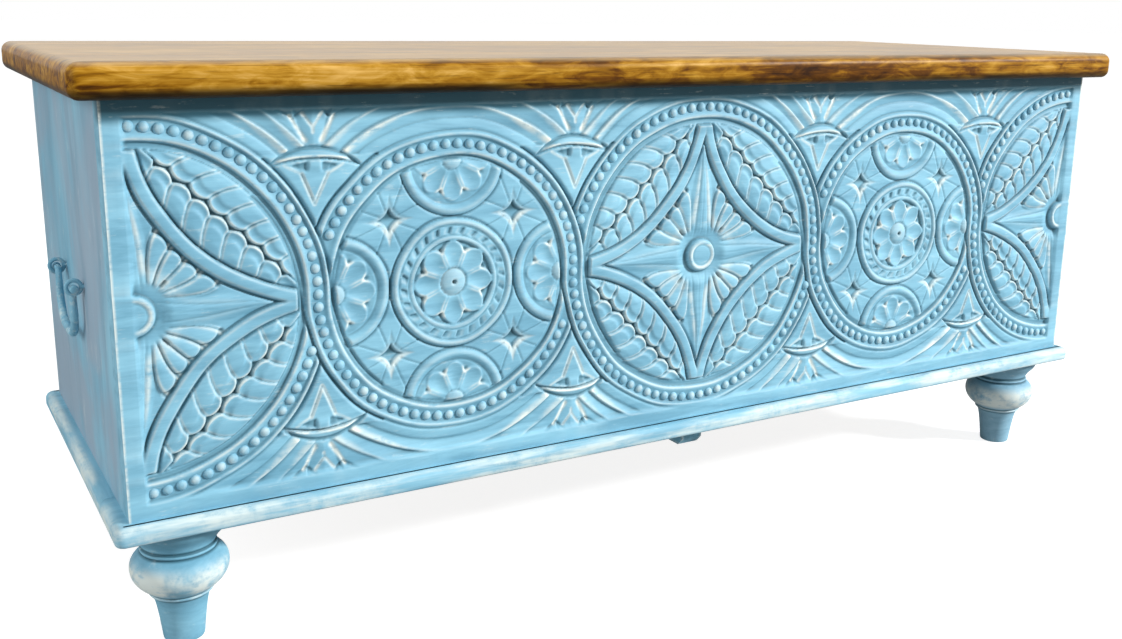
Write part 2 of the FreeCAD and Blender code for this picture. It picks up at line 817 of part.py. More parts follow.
def make_hinge(end, x):
    start = f"{x} - hinge_length / 2"
    knuckle = [f"{start} + {number} * (knuckle_length + hinge_gap)" for number in range(3)]
    clear = "(hinge_knuckle_radius + hinge_gap)"
    low = "hinge_z - hinge_leaf_width"
    wall = [
        add_box(
            f"{end}_wall_plate",
            (start, "back_face", low),
            ("hinge_length", "hinge_leaf_thickness", f"hinge_leaf_width - {clear}"),
        ),
        add_cylinder(f"{end}_pin", (start, "hinge_y", "hinge_z"), "X", "hinge_pin_radius", "hinge_length"),
    ]
    for number in (0, 2):
        tab = add_box(
            f"{end}_wall_tab_{number}",
            (knuckle[number], "back_face", low),
            ("knuckle_length", "hinge_leaf_thickness", "hinge_leaf_width"),
        )
        wall += [tab, hinge_barrel(f"{end}_wall_knuckle_{number}", knuckle[number])]
    keep(f"{end}_hinge_wall_leaf", add_fuse(f"{end}_wall_leaf", wall))
    top = "lid_bottom - hinge_leaf_thickness"
    plate = add_box(
        f"{end}_lid_plate",
        (start, f"hinge_y + {clear}", top),
        ("hinge_length", f"hinge_leaf_width - {clear}", "hinge_leaf_thickness"),
    )
    tab = add_box(
        f"{end}_lid_tab",
        (knuckle[1], "hinge_y", top),
        ("knuckle_length", "hinge_leaf_width", "hinge_leaf_thickness"),
    )
    blank = add_fuse(f"{end}_lid_blank", [plate, tab, hinge_barrel(f"{end}_lid_knuckle", knuckle[1])])
    axis = (start, "hinge_y", "hinge_z")
    bore = add_cylinder(f"{end}_bore", axis, "X", "hinge_bore_radius", "hinge_length")
    keep(f"{end}_hinge_lid_leaf", add_cut(f"{end}_lid_leaf", blank, bore))


def hinge_barrel(name, start):
    return add_cylinder(name, (start, "hinge_y", "hinge_z"), "X", "hinge_knuckle_radius", "knuckle_length")


fill_sheets()
make_front_panel()
make_walls()
make_floor()
make_posts()
make_base_rails(make_feet())
make_under_batten()
make_lid()
for end, side in (("left", -1), ("right", 1)):
    make_eyes(end, side)
    make_bail(end, side)
make_hinge("left", "-hinge_x")
make_hinge("right", "hinge_x")

doc.recompute()
broken = [f"{item.Name}: {item.State}" for item in doc.Objects if {"Invalid", "Error"} & set(item.State)]
for node, feature in nodes.items():
    if feature.Shape.isNull() or not feature.Shape.isValid():
        broken.append(node + ": its shape")
if broken:
    raise RuntimeError("; ".join(broken))

os.makedirs(OUT_FOLDER, exist_ok=True)
for node, feature in nodes.items():
    feature.Shape.exportStep(os.path.join(OUT_FOLDER, node + ".step"))
print(len(nodes), "pieces")
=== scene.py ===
import math

import bmesh
import bpy
import numpy as np
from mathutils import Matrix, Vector


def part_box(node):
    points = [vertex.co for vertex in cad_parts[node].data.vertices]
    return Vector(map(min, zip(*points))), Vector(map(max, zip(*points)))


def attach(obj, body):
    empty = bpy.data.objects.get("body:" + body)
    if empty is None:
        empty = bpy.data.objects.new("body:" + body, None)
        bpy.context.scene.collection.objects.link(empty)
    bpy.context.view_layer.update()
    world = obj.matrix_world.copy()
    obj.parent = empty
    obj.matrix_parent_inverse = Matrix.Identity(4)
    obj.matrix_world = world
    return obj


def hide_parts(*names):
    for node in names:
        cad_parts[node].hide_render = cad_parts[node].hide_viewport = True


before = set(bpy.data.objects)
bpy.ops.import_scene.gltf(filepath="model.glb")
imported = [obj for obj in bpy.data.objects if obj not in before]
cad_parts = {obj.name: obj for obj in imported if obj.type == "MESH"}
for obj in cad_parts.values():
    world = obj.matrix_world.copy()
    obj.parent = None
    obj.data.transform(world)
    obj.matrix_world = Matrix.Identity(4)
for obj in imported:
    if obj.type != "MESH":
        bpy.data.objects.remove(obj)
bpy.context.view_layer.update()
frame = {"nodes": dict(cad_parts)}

nodes = frame["nodes"]


# The moulded base: three rails front to back and two along, of mango wood 17 mm thick, with a
# rounded edge outside and butt joints inside. Chalk paint, brushed along the rails and rubbed
# through to the pale undercoat on the nosing.

class Wire:
    """A socket in a node tree. Sums and products of wires add the nodes that work them out."""

    def __init__(self, nodes, socket):
        self.nodes = nodes
        self.socket = socket

    def maths(self, operation, *inputs):
        given = dict(enumerate(inputs))
        return self.nodes.add("ShaderNodeMath", {"operation": operation}, given)

    def __add__(self, other):
        return self.maths("ADD", self, other)

    def __sub__(self, other):
        return self.maths("SUBTRACT", self, other)

    def __rsub__(self, other):
        return self.maths("SUBTRACT", other, self)

    def __mul__(self, other):
        return self.maths("MULTIPLY", self, other)

    def least(self, other):
        return self.maths("MINIMUM", self, other)

    def most(self, other):
        return self.maths("MAXIMUM", self, other)

    def size(self):
        return self.maths("ABSOLUTE", self)

    def step(self, low, high):
        """0 up to low, 1 from high on, and smooth between."""
        settings = {"interpolation_type": "SMOOTHSTEP"}
        return self.nodes.add("ShaderNodeMapRange", settings, {0: self, 1: low, 2: high})

    def between(self, low, full, fading, high):
        """0 up to low, 1 from full to fading, and 0 again from high on."""
        return self.step(low, full) * (1 - self.step(fading, high))


class Nodes:
    """A node tree in the making."""

    def __init__(self, tree):
        self.tree = tree

    def add(self, kind, settings, inputs, output=0):
        """A node with its settings, then its inputs: each a wire or a plain value."""
        node = self.tree.nodes.new(kind)
        for key, setting in settings.items():
            if key == "stops":
                while len(node.color_ramp.elements) < len(setting):
                    node.color_ramp.elements.new(0.5)
                for element, (spot, colour) in zip(node.color_ramp.elements, setting):
                    element.position = spot
                    element.color = colour
            else:
                setattr(node, key, setting)
        self.feed(node, inputs)
        return Wire(self, node.outputs[output])

    def feed(self, node, inputs):
        """Gives a node its inputs by their names or numbers."""
        for key, given in inputs.items():
            if isinstance(given, Wire):
                self.tree.links.new(given.socket, node.inputs[key])
            else:
                node.inputs[key].default_value = given


def paint_colour(red, green, blue):
    """A colour as the eye reads it, 0 to 255, as the linear light that a shader takes."""
    shares = [channel / 255 for channel in (red, green, blue)]
    linear = [s / 12.92 if s <= 0.04045 else ((s + 0.055) / 1.055) ** 2.4 for s in shares]
    return (*linear, 1.0)


class Finish(Nodes):
    """A finish in the making: one material, and the shader that it ends in."""

    def __init__(self, name):
        self.material = bpy.data.materials.new(name)
        self.material.use_nodes = True
        super().__init__(self.material.node_tree)
        self.skin = self.tree.nodes["Principled BSDF"]

    def place(self):
        return self.add("ShaderNodeTexCoord", {}, {}, "Object")

    def along(self, axis):
        """The place on the piece along X, Y or Z, in metres."""
        return self.add("ShaderNodeSeparateXYZ", {}, {0: self.place()}, axis)

    def cloud(self, scale, detail=4.0, roughness=0.55, warp=0.0, place=None):
        """Soft random patches; scale is how many there are in a metre along X, Y and Z."""
        inputs = {"Vector": place or self.place(), "Scale": scale}
        stretched = self.add("ShaderNodeMapping", {}, inputs)
        inputs = {"Vector": stretched, "Scale": 1.0, "Detail": detail}
        inputs |= {"Roughness": roughness, "Distortion": warp}
        return self.add("ShaderNodeTexNoise", {}, inputs)

    def attribute(self, name):
        return self.add("ShaderNodeAttribute", {"attribute_name": name}, {}, "Fac")

    def blend(self, under, over, share):
        """One colour laid over another by a share from 0 to 1."""
        settings = {"data_type": "RGBA", "clamp_factor": True}
        return self.add("ShaderNodeMix", settings, {0: share, 6: under, 7: over}, 2)

    def ramp(self, spots, colours, share):
        """A run of colours, 0 to 255, each at its own spot from 0 to 1."""
        stops = [(spot, paint_colour(*colour)) for spot, colour in zip(spots, colours)]
        return self.add("ShaderNodeValToRGB", {"stops": stops}, {0: share})

    def bumps(self, height, distance, strength=1.0):
        inputs = {"Height": height, "Distance": distance, "Strength": strength}
        return self.add("ShaderNodeBump", {}, inputs)

    def ends_in(self, colour, roughness, others):
        """Joins the shader's inputs; others holds all but the colour and the roughness."""
        self.feed(self.skin, {"Base Color": colour, "Roughness": roughness} | others)
        return self.material


def near_edges(finish, low, high):
    """How far a point on a board is from the board's nearest edge, in metres."""
    gaps = []
    for axis, start, end in zip("XYZ", low, high):
        spot = finish.along(axis)
        gaps.append((spot - start).size().least((end - spot).size()))
    a, b, c = gaps
    return a.least(b).most(a.most(b).least(c))


chalk_blue = paint_colour(108, 164, 188)
chalk_sky = paint_colour(140, 196, 217)
chalk_deep = paint_colour(80, 136, 158)
chalk_teal = paint_colour(2, 66, 80)
undercoat = paint_colour(226, 232, 224)


def chalk_paint(name, strokes, rubbed, hollow=None, grey=0.0, wear=1.0, bare=None):
    """Chalk paint by the brush: streaks along the strokes, thin pale rubs, darker in the hollows.

    strokes are the brush marks in a metre along X, Y and Z; rubbed(finish) gives the share, 0 to 1,
    of rubbing that the shape invites, and hollow(finish) the same for the dark teal laid on: dark wax,
    and painted shade where the piece stands in shade.
    bare(finish) gives the colour of unpainted wood and the share of the piece that it shows on.
    """
    finish = Finish(name)
    broad = finish.cloud((5.0, 5.0, 5.0), 3.0)
    streaks = finish.cloud(strokes, 5.0, 0.65, 0.4)
    grain = finish.cloud([4 * count for count in strokes], 3.0, 0.6)
    colour = finish.blend(chalk_blue, chalk_sky, (streaks * 0.7 + broad * 0.5 - 0.1).step(0.35, 0.75))
    dull = finish.cloud((3.1, 3.7, 2.9), 4.0, 0.6, 0.6)
    colour = finish.blend(colour, paint_colour(146, 160, 176), dull.step(0.40, 0.62) * grey)
    colour = finish.blend(colour, chalk_deep, (1 - streaks).step(0.5, 0.75) * 0.35)
    # Dark teal laid over the hollow share: dark wax, and painted shade.
    if hollow is not None:
        colour = finish.blend(colour, chalk_teal, hollow(finish))
    patches = finish.cloud((38.0, 38.0, 38.0), 5.0, 0.7)
    rub = rubbed(finish) * (patches * 1.3 + grain * 0.7 - 0.35).step(0.25, 0.75) * wear
    scuffs = (grain * 0.6 + patches * 0.5).step(0.62, 0.74) * 0.22 * wear
    colour = finish.blend(colour, undercoat, rub.most(scuffs))
    if bare is not None:
        colour = finish.blend(colour, *bare(finish))
    rough = streaks * 0.25 + 0.5
    normal = finish.bumps(streaks * 0.6 + grain * 0.4, 0.0006, 0.5)
    return finish.ends_in(colour, rough, {"Normal": normal})


def put_in(name, data):
    """A new object in the scene that holds a mesh, a lamp or a camera."""
    piece = bpy.data.objects.new(name, data)
    bpy.context.scene.collection.objects.link(piece)
    return piece


def new_piece(name, points, faces=()):
    """Points in metres and their faces, as an object in the scene."""
    mesh = bpy.data.meshes.new(name)
    mesh.from_pydata(points, [], faces)
    return put_in(name, mesh)


def smoothed(piece, sharp):
    """The piece shaded smooth, but for edges that turn by more than so many degrees."""
    piece.data.polygons.foreach_set("use_smooth", [True] * len(piece.data.polygons))
    piece.data.set_sharp_from_angle(angle=math.radians(sharp))
    return piece


def joined_rows(rows, around, closed=False):
    """Faces between rows of points that each run round; closed joins the last row to the first."""
    faces = []
    for row in range(rows if closed else rows - 1):
        here = row * around
        ahead = (row + 1) % rows * around
        for step in range(around):
            after = (step + 1) % around
            faces.append((here + step, here + after, ahead + after, ahead + step))
    return faces


def rounded_board(name, low, high, nose, under, square_sides=(), corner=0.0, steps=6):
    """A board whose outer edges are rounded: by nose on top and by under below.

    square_sides names edges of the outline as "left", "right", "front" or "back" that keep a fine
    arris. corner rounds the outline's own corners where two rounded edges meet.
    """
    (x0, y0, z0), (x1, y1, z1) = low, high
    arris = 0.0006
    flat = 0.003
    sides = {"left": (-1, 0), "front": (0, -1), "right": (1, 0), "back": (0, 1)}
    corners = [("left", "front"), ("front", "right"), ("right", "back"), ("back", "left")]
    outline = []
    for first, second in corners:
        pair = (first, second)
        x = x0 if "left" in pair else x1
        y = y0 if "front" in pair else y1
        if corner and first not in square_sides and second not in square_sides:
            middle = Vector((x, y)) - corner * (Vector(sides[first]) + Vector(sides[second]))
            start = math.atan2(sides[first][1], sides[first][0])
            for step in range(steps + 3):
                turn = start + math.pi / 2 * step / (steps + 2)
                out = Vector((math.cos(turn), math.sin(turn)))
                outline.append((middle + corner * out, [(out, False)]))
        else:
            ways = [(Vector(sides[s]), s in square_sides) for s in pair]
            outline.append((Vector((x, y)), ways))
    turns = [math.pi / 2 * step / steps for step in range(steps + 1)]
    bends = [(1 - math.sin(turn), 1 - math.cos(turn)) for turn in turns]
    rows = [(under + flat, arris + flat, z0, z0)]
    for inward, lift in bends:
        rows.append((under * inward, arris * inward, z0 + under * lift, z0 + arris * lift))
    for inward, lift in reversed(bends):
        rows.append((nose * inward, arris * inward, z1 - nose * lift, z1 - arris * lift))
    rows.append((nose + flat, arris + flat, z1, z1))
    points = []
    for in_round, in_square, z_round, z_square in rows:
        for spot, ways in outline:
            moved = spot.copy()
            for out, square in ways:
                moved -= out * (in_square if square else in_round)
            rounded = any(not square for _, square in ways)
            points.append((moved.x, moved.y, z_round if rounded else z_square))
    count = len(outline)
    faces = joined_rows(len(rows), count)
    faces.append(tuple(reversed(range(count))))
    faces.append(tuple(range((len(rows) - 1) * count, len(rows) * count)))
    return smoothed(new_piece(name, points, faces), 35)


def dress(piece, finish, body, slot, *replaced):
    """Paints a new piece, hangs it on its body and hides the nodes it stands for; slot is not used."""
    piece.data.materials.clear()
    piece.data.materials.append(finish)
    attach(piece, body)
    if replaced:
        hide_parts(*replaced)


def recoat(node, finish):
    """Gives a CAD node its finish."""
    nodes[node].data.materials.clear()
    nodes[node].data.materials.append(finish)


base_low = Vector(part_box("base_rail_front")[0])
base_high = Vector(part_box("base_rail_back")[1])


def base_edge_rub(finish):
    """The nosing of the base is rubbed pale nearly all round."""
    nose = 0.0075
    ends = finish.along("X").size() - (base_high.x - nose)
    front = (base_low.y + nose) - finish.along("Y")
    back = finish.along("Y") - (base_high.y - nose)
    nosing = ends.most(front).most(back).step(-0.004, 0.004)
    long_patches = finish.cloud((7.0, 7.0, 60.0), 4.0, 0.6)
    return nosing * long_patches.step(0.38, 0.64) * 0.75


base_paint = chalk_paint("base_chalk_paint", (6.0, 60.0, 90.0), base_edge_rub)
end_rail_paint = chalk_paint("base_end_chalk_paint", (60.0, 6.0, 90.0), base_edge_rub)
square_by_rail = {
    "base_rail_front": ("back",),
    "base_rail_back": ("front",),
    "base_rail_left": ("front", "back", "right"),
    "base_rail_right": ("front", "back", "left"),
}
for rail, square in square_by_rail.items():
    low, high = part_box(rail)
    moulded = rounded_board(rail + "_moulded", low, high, 0.0080, 0.0038, square, 0.0085)
    long_rail = rail in ("base_rail_front", "base_rail_back")
    dress(moulded, base_paint if long_rail else end_rail_paint, "carcass", "base_paint", rail)


# Inside and underneath: the bare mango wood of the floor boards, the corner posts, the middle
# rail and the batten under it. Sawn and planed, glued and pinned, never painted but for the
# batten's sides, which the brush reached.

def drawn_out(lengthwise, across, along):
    """Patches in a metre along X, Y and Z that are drawn out along one axis, as grain is."""
    return [along if axis == lengthwise else across for axis in "XYZ"]


def bare_mango(name, lengthwise, pale=0.0):
    """Planed wood with the grain along the given axis: brown streaks and fine dark pores."""
    finish = Finish(name)
    figure = finish.cloud(drawn_out(lengthwise, 26.0, 1.6), 5.0, 0.6, 1.2)
    pores = finish.cloud(drawn_out(lengthwise, 260.0, 7.0), 3.0, 0.6)
    tone = (figure * 0.75 + pores * 0.25 + pale).step(0.3, 0.72)
    colours = [(70, 45, 24), (126, 88, 52), (166, 124, 80), (190, 152, 106)]
    colour = finish.ramp((0.0, 0.35, 0.7, 1.0), colours, tone)
    normal = finish.bumps(pores * 0.7 + figure * 0.3, 0.0005, 0.6)
    return finish.ends_in(colour, pores * 0.2 + 0.6, {"Normal": normal})


bare_lengthwise = bare_mango("bare_mango_long", "X", 0.06)
bare_crosswise = bare_mango("bare_mango_cross", "Y")
bare_upright = bare_mango("bare_mango_upright", "Z")
for board in ("front", "middle", "back"):
    recoat(f"floor_board_{board}", bare_lengthwise)
for corner_post in ("front_left", "front_right", "back_left", "back_right"):
    recoat(f"corner_post_{corner_post}", bare_upright)
recoat("base_rail_middle", bare_crosswise)


def batten_rub(finish):
    return near_edges(finish, *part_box("under_batten")).step(0.004, 0.0) * 0.7


def batten_shade(finish):
    return finish.cloud((30.0, 12.0, 30.0)).step(0.35, 0.8) * 0.8


batten_paint = chalk_paint("under_batten_chalk_paint", (90.0, 6.0, 90.0), batten_rub, batten_shade)
recoat("under_batten", batten_paint)


# The walls: two side panels and a plain back, glued up from planks and painted outside only.
# The brush ran up and down the sides and along the back, over a greyer first coat.

side_inside = abs(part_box("left_side_panel")[1].x)
back_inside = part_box("back_panel")[0].y
case_low = Vector(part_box("front_panel")[0])
case_high = Vector(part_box("back_panel")[1])


def near_upright_corners(finish):
    """How far a point is from the upright corners of the box, in metres."""
    return near_edges(finish, case_low - Vector((0, 0, 1)), case_high + Vector((0, 0, 1)))


def wall_rub(finish):
    return near_upright_corners(finish).step(0.0045, 0.0005) * 0.8


def unpainted(finish, lengthwise):
    """The walls' bare wood, with its grain along the given axis."""
    figure = finish.cloud(drawn_out(lengthwise, 24.0, 1.5), 5.0, 0.6, 1.2)
    colours = [(78, 52, 30), (134, 96, 58), (172, 132, 86), (194, 158, 112)]
    return finish.ramp((0.25, 0.45, 0.6, 0.8), colours, figure)


def bare_side(finish):
    """Bare wood on the faces of the side panels that look into the chest."""
    shown = finish.along("X").size().step(side_inside + 0.0006, side_inside + 0.0002)
    return unpainted(finish, "Z"), shown


def bare_back(finish):
    """Bare wood on the face of the back panel that looks into the chest."""
    shown = finish.along("Y").step(back_inside + 0.0006, back_inside + 0.0002)
    return unpainted(finish, "X"), shown


wall_wear = {"grey": 0.75, "wear": 0.85}
side_strokes, back_strokes = (70.0, 26.0, 5.0), (5.0, 60.0, 30.0)
side_paint = chalk_paint("side_chalk_paint", side_strokes, wall_rub, bare=bare_side, **wall_wear)
back_paint = chalk_paint("back_chalk_paint", back_strokes, wall_rub, bare=bare_back, **wall_wear)
recoat("left_side_panel", side_paint)
recoat("right_side_panel", side_paint)
recoat("back_panel", back_paint)


# The carved front: one thick board of mango wood, sunk 7 mm between flat margins and worked by
# hand into five interlaced beaded rings, with three stars and two rosettes, the crossings filled
# with wedges and crescent caps. The same chalk paint, with the pale undercoat rubbed through on
# the ridges, dark wax and painted shade in the cuts, and a painted shadow under the lid.

PANEL_LOW, PANEL_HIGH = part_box("front_panel")
MM = 0.001
# The carving is set out in millimetres from the middle of the board. A ring's band reaches from
# its line of beads inside and outside; neighbours touch at their beads.
GROUND, RELIEF = 3.3, 7.0
STAR_RING = {"bead": 157.7, "inside": 17.3, "outside": 10.8}
ROSETTE_RING = {"bead": 131.8, "inside": 14.8, "outside": 12.2}
RING_PITCH = STAR_RING["bead"] + ROSETTE_RING["bead"]
ZONE_LENGTH = 2 * RING_PITCH
ZONE_HEIGHT = STAR_RING["bead"] + STAR_RING["outside"] - 1.5
RINGS = []
for place in range(-2, 3):
    kind = ROSETTE_RING if place % 2 else STAR_RING
    RINGS.append({**kind, "middle": place * RING_PITCH, "star": kind is STAR_RING})
CROSSINGS = list(zip(RINGS, RINGS[1:]))
STAR_FIELD = STAR_RING["bead"] - STAR_RING["inside"]
ROSETTE_FIELD = ROSETTE_RING["bead"] - ROSETTE_RING["inside"]
BEAD_BED = 3.2
# The upper strand swings from ring to ring within OVER_REACH, with OVER_GAP cut free beside it.
OVER_REACH = 30.0
OVER_GAP = 3.4
ARC_RADIUS = 172.5
ARC_HALF = 7.5
BOSS_RADIUS = 19.3
LEAF_SPINE = 109.2
PETAL_PITCH = 20.6
FAN_PETAL = 14.0
CHIPS = 24
CAP_FOOT = 120.0
CAP_HALF = 36.0
GRID_PITCH = 1.05
MARGIN_LINES = 3
STRIPS = 5


def rise(distance, low, high):
    """0 up to low, 1 from high on, and smooth between, for arrays."""
    share = np.clip((distance - low) / (high - low), 0.0, 1.0)
    return share * share * (3 - 2 * share)


def vee(distance, half):
    """A V-shaped cut, 1 on its line and 0 from half a width away."""
    return np.clip(1 - np.abs(distance) / half, 0.0, 1.0)


def cut_along(u, v, start, end):
    """Distance from each point to a straight cut."""
    (x0, y0), (x1, y1) = start, end
    dx, dy = x1 - x0, y1 - y0
    share = np.clip(((u - x0) * dx + (v - y0) * dy) / (dx * dx + dy * dy), 0.0, 1.0)
    return np.hypot(u - x0 - share * dx, v - y0 - share * dy)


def laid(region, over, under):
    """Height, hollow and rub: in the region those of the upper one, elsewhere those under it."""
    return [np.where(region, new, old) for new, old in zip(over, under)]


def band_relief(across, inside, outside):
    """A ring's band from the inside out: a groove, a slim rim, the beads' bed and a broad rim."""
    inner = 5.5 - 3.9 * rise(-across, 9.8, 12.0) + 1.2 * rise(-across, inside - 2.5, inside)
    crest = 6.2 - 0.03 * np.clip(across - 8.6, 0, 20) ** 2
    crest = crest - 1.2 * rise(across, outside - 2.5, outside)
    outer = 3.4 + (crest - 3.4) * rise(across, 6.0, 8.4)
    cove = BEAD_BED + (5.5 - BEAD_BED) * np.clip(-across / 7.0, 0.0, 1.0) ** 2.5
    height = np.where(across < -7.0, inner, np.where(across > 6.0, outer, cove))
    dark = vee(across - 6.0, 1.6) * 0.5 + vee(across + inside - 2.8, 2.4) * 0.4
    dark = dark + 0.18 * rise(np.abs(across), 6.5, 4.0)
    pale = vee(across + 9.4, 1.3) * 0.45 + vee(across - 9.0, 1.6) * 0.15
    return height, dark, pale


def over_strand(x, z, left, right):
    """How far across the strand a point is, where it runs from one ring over to the next."""
    share = rise(z, -OVER_REACH, OVER_REACH)
    out_left = np.hypot(x - left["middle"], z) - left["bead"]
    out_right = np.hypot(x - right["middle"], z) - right["bead"]
    across = share * out_left - (1 - share) * out_right
    inside = share * left["inside"] + (1 - share) * right["outside"]
    outside = share * left["outside"] + (1 - share) * right["inside"]
    return across, inside, outside


def leaf_relief(a, b):
    """A leaf between an arc and its ring: two rows of scales with round ends along a dark spine."""
    p = (a - b) / math.sqrt(2)
    q = (a + b) / math.sqrt(2) - LEAF_SPINE
    far = np.sqrt(np.maximum(STAR_FIELD**2 - p**2, 0)) - LEAF_SPINE
    arc_edge = np.sqrt(np.maximum((ARC_RADIUS - ARC_HALF) ** 2 - p**2, 0))
    near = LEAF_SPINE - ARC_RADIUS * math.sqrt(2) + arc_edge
    width = np.maximum(np.where(q > 0, far, near), 0.5)
    bent = p - 0.015 * q**2
    best = np.full(a.shape, 0.8)
    pale = np.zeros(a.shape)
    row = rise(76.0 - np.abs(p), 0.0, 4.0)
    for way in (1, -1):
        cell = bent / PETAL_PITCH + (0.0 if way > 0 else 0.5)
        lean = cell - np.floor(cell) - 0.5
        line = (0.5 - np.abs(lean)) * PETAL_PITCH
        end = way * q + 0.7 - 4.6 * np.abs(2 * lean) ** 2.3 * row
        scale_top = 5.0 - 1.3 * rise(end, 1.6, 6.0) + 1.6 * rise(end, 7.5, 12.0)
        scale_top = scale_top + 0.9 * (1 - (2 * lean) ** 2) + 1.2 * lean
        scale_top = scale_top - 1.6 * rise(end, width - 9.0, width + 1.0)
        scale_top = scale_top - 1.5 * vee(line, 1.0) * row
        scale = 0.8 + (scale_top - 0.8) * rise(end, 0.0, 1.5) * rise(width - way * q, -0.3, 1.6)
        own = end > 0
        best = np.where(own, scale, best)
        rim = vee(end - 1.7, 1.5) * 0.6 * (0.4 + 0.6 * rise(np.abs(2 * lean), 0.9, 0.3))
        pale = np.where(own, np.maximum(rim, vee(line - 1.8, 1.1) * 0.45) * row, pale)
    dark = (1.0 - rise(best, 0.9, 1.6)) * (np.abs(q) < 6.0) * row
    return best, dark, pale * (dark < 0.2)


def star_relief(u, v):
    """Four arcs bent inwards from ring to ring, a leaf behind each, rays and fans round a boss."""
    a, b = np.abs(u), np.abs(v)
    r = np.hypot(a, b)
    arc = np.hypot(a - ARC_RADIUS, b - ARC_RADIUS) - ARC_RADIUS
    inner_edge = arc - ARC_HALF
    # Rays along the axes, raised like a roof and scored with fine lines.
    along_axis = np.maximum(a, b)
    off_axis = np.minimum(a, b)
    taper = np.clip((122.0 - along_axis) / 102.0, 0.0, 1.0)
    ray = 2.2 + 3.0 * np.clip(1 - off_axis / (3.0 + 19.0 * taper), 0.0, 1.0)
    for spread, depth in ((0.0, 0.9), (8.84, 1.2)):
        ray = ray - depth * vee(off_axis - spread * taper, 1.0) * rise(taper, 0.04, 0.2)
    facet = vee(off_axis - 12.5 * taper, 1.0 + 4.0 * taper) * rise(taper, 0.15, 0.5)
    pale = facet * rise(along_axis, 30.0, 42.0) * np.where(b > a, 0.55, 0.12)
    # A fan of four petals in each quarter, its cuts bowed like a tulip's.
    edge_out = ARC_RADIUS * (a + b) / np.maximum(r, 1.0)
    reach = edge_out**2 - 2 * ARC_RADIUS**2 + (ARC_RADIUS + ARC_HALF) ** 2
    limit = edge_out - np.sqrt(np.maximum(reach, 0))
    back = np.clip((limit - r) / (limit - 30.0), 0.0, 1.3)
    bow = 1 + 0.16 * np.sin(math.pi * np.minimum(back, 1.0)) - 0.30 * back**2
    lean = (np.degrees(np.arctan2(b, a)) - 45.0) / bow
    cell = lean / FAN_PETAL
    share = cell - np.floor(cell) - 0.5
    petal_line = np.abs(cell - np.round(cell)) * np.radians(FAN_PETAL) * bow * r
    in_fan = rise(2.06 * FAN_PETAL - np.abs(lean), -0.6, 0.6) * rise(r, 27.0, 34.0)
    end = 1.0 + 4.4 * np.abs(2 * share) ** 2.2
    petals = 3.2 + 1.3 * (1 - (2 * share) ** 2) + 1.5 * share + 0.9 * rise(inner_edge, 26.0, 8.0)
    petals = petals - 1.6 * vee(petal_line, 1.0)
    petals = 1.0 + (petals - 1.0) * rise(inner_edge - end, -0.4, 1.2)
    tip = np.hypot(petal_line, inner_edge - 3.2)
    nick = vee(cut_along(a, b, (23.6, 23.6), (26.6, 26.6)), 2.4)
    petals = petals - 1.2 * vee(tip, 2.6)
    height = ray + (petals - ray) * in_fan - 2.4 * nick
    dark = np.maximum(vee(tip, 3.0) * in_fan, nick)
    pale = pale * (1 - in_fan)
    rubbed = vee(petal_line - 2.2, 1.8) * rise(inner_edge, 26.0, 14.0) * 0.24
    rubbed = rubbed + vee(petal_line - 1.7, 1.0) * 0.4
    pale = pale + (rubbed + vee(r - 40.0, 9.0) * 0.25 * rise(back, 0.4, 0.8)) * in_fan
    near_boss = rise(r, 19.0, 33.0)
    height = height * near_boss + 0.8 * (1 - near_boss)
    height = height * rise(inner_edge, -0.2, 1.6)
    # The leaf behind the arc, and the arc over both.
    found = laid(arc < -ARC_HALF, leaf_relief(a, b), (height, dark, pale))
    on_arc = (np.abs(arc) <= ARC_HALF) & (r < STAR_FIELD)
    flat = rise(ARC_HALF - np.abs(arc), 0.0, 3.0) * rise(STAR_FIELD - 0.8 - r, 0.0, 1.4)
    crown = 0.9 + (5.4 - 0.022 * arc**2) * flat
    height, dark, pale = laid(on_arc, (crown, 0.0, vee(np.abs(arc) - 4.8, 1.6) * 0.15), found)
    # The boss, a button with a ring round its crown.
    wall = rise(BOSS_RADIUS - r, 0.0, 3.4)
    top = 5.5 + 0.9 * vee(r - 14.4, 3.6) - 0.8 * vee(r - 11.4, 1.3) + 0.2 * rise(11.0 - r, 0.0, 9.0)
    boss = (0.6 + top * wall, 0.0, vee(r - 13.4, 1.9) * 0.75)
    dark = np.maximum(dark, vee(r - BOSS_RADIUS - 0.3, 2.0) * 0.5)
    return laid(r < BOSS_RADIUS, boss, (height, dark, pale))


def flower_relief(u, v, facing, pitch, boss, ends, bed):
    """Dished petals round a boss, parted by single cuts that fork before their rounded ends."""
    r = np.hypot(u, v)
    turn = (np.degrees(np.arctan2(v, u)) - facing + 180.0) % 360.0 - 180.0
    cell = turn / pitch
    lean = cell - np.round(cell)
    line = (0.5 - np.abs(lean)) * np.radians(pitch) * r
    across = np.abs(2 * lean)
    limit = ends * (1.03 - 0.24 * across**1.8)
    petal = rise(limit - r, -0.2, 1.0)
    outward = np.clip((r - boss) / (ends - boss), 0, 1)
    dish = 2.7 * (1 - across**2) * np.sin(math.pi * outward) ** 0.7
    surface = 5.4 - dish - 1.3 * vee(line, 0.95) * rise(ends * 0.8 - r, 0.0, 2.0)
    height = bed + (surface - bed) * petal
    height = height - 1.8 * vee(r - ends * 0.84, 3.4) * rise(across, 0.72, 0.96)
    shoulder = vee(r - limit + 1.6, 2.4) * rise(across, 0.5, 0.85)
    lip = vee(line - 1.5, 1.1) * petal * rise(r, ends * 0.35, ends * 0.6)
    pale = np.maximum(shoulder * 0.95, lip * 0.55)
    dark = rise(r - limit, 0.0, 1.4) * rise(ends + 1.6 - r, 0.0, 0.8)
    dark = dark * rise(across, 0.4, 0.8) * 0.2
    dark = dark + vee(r - ends * 0.83, 2.2) * rise(across, 0.78, 0.98) * 0.6
    dome = bed + (7.0 - bed) * np.sqrt(np.maximum(1 - (r / boss) ** 2, 0)) ** 0.9
    height = height - 1.1 * vee(r - boss - 0.4, 1.4)
    return laid(r < boss, (dome, 0.0, 0.15), (height, dark, pale))


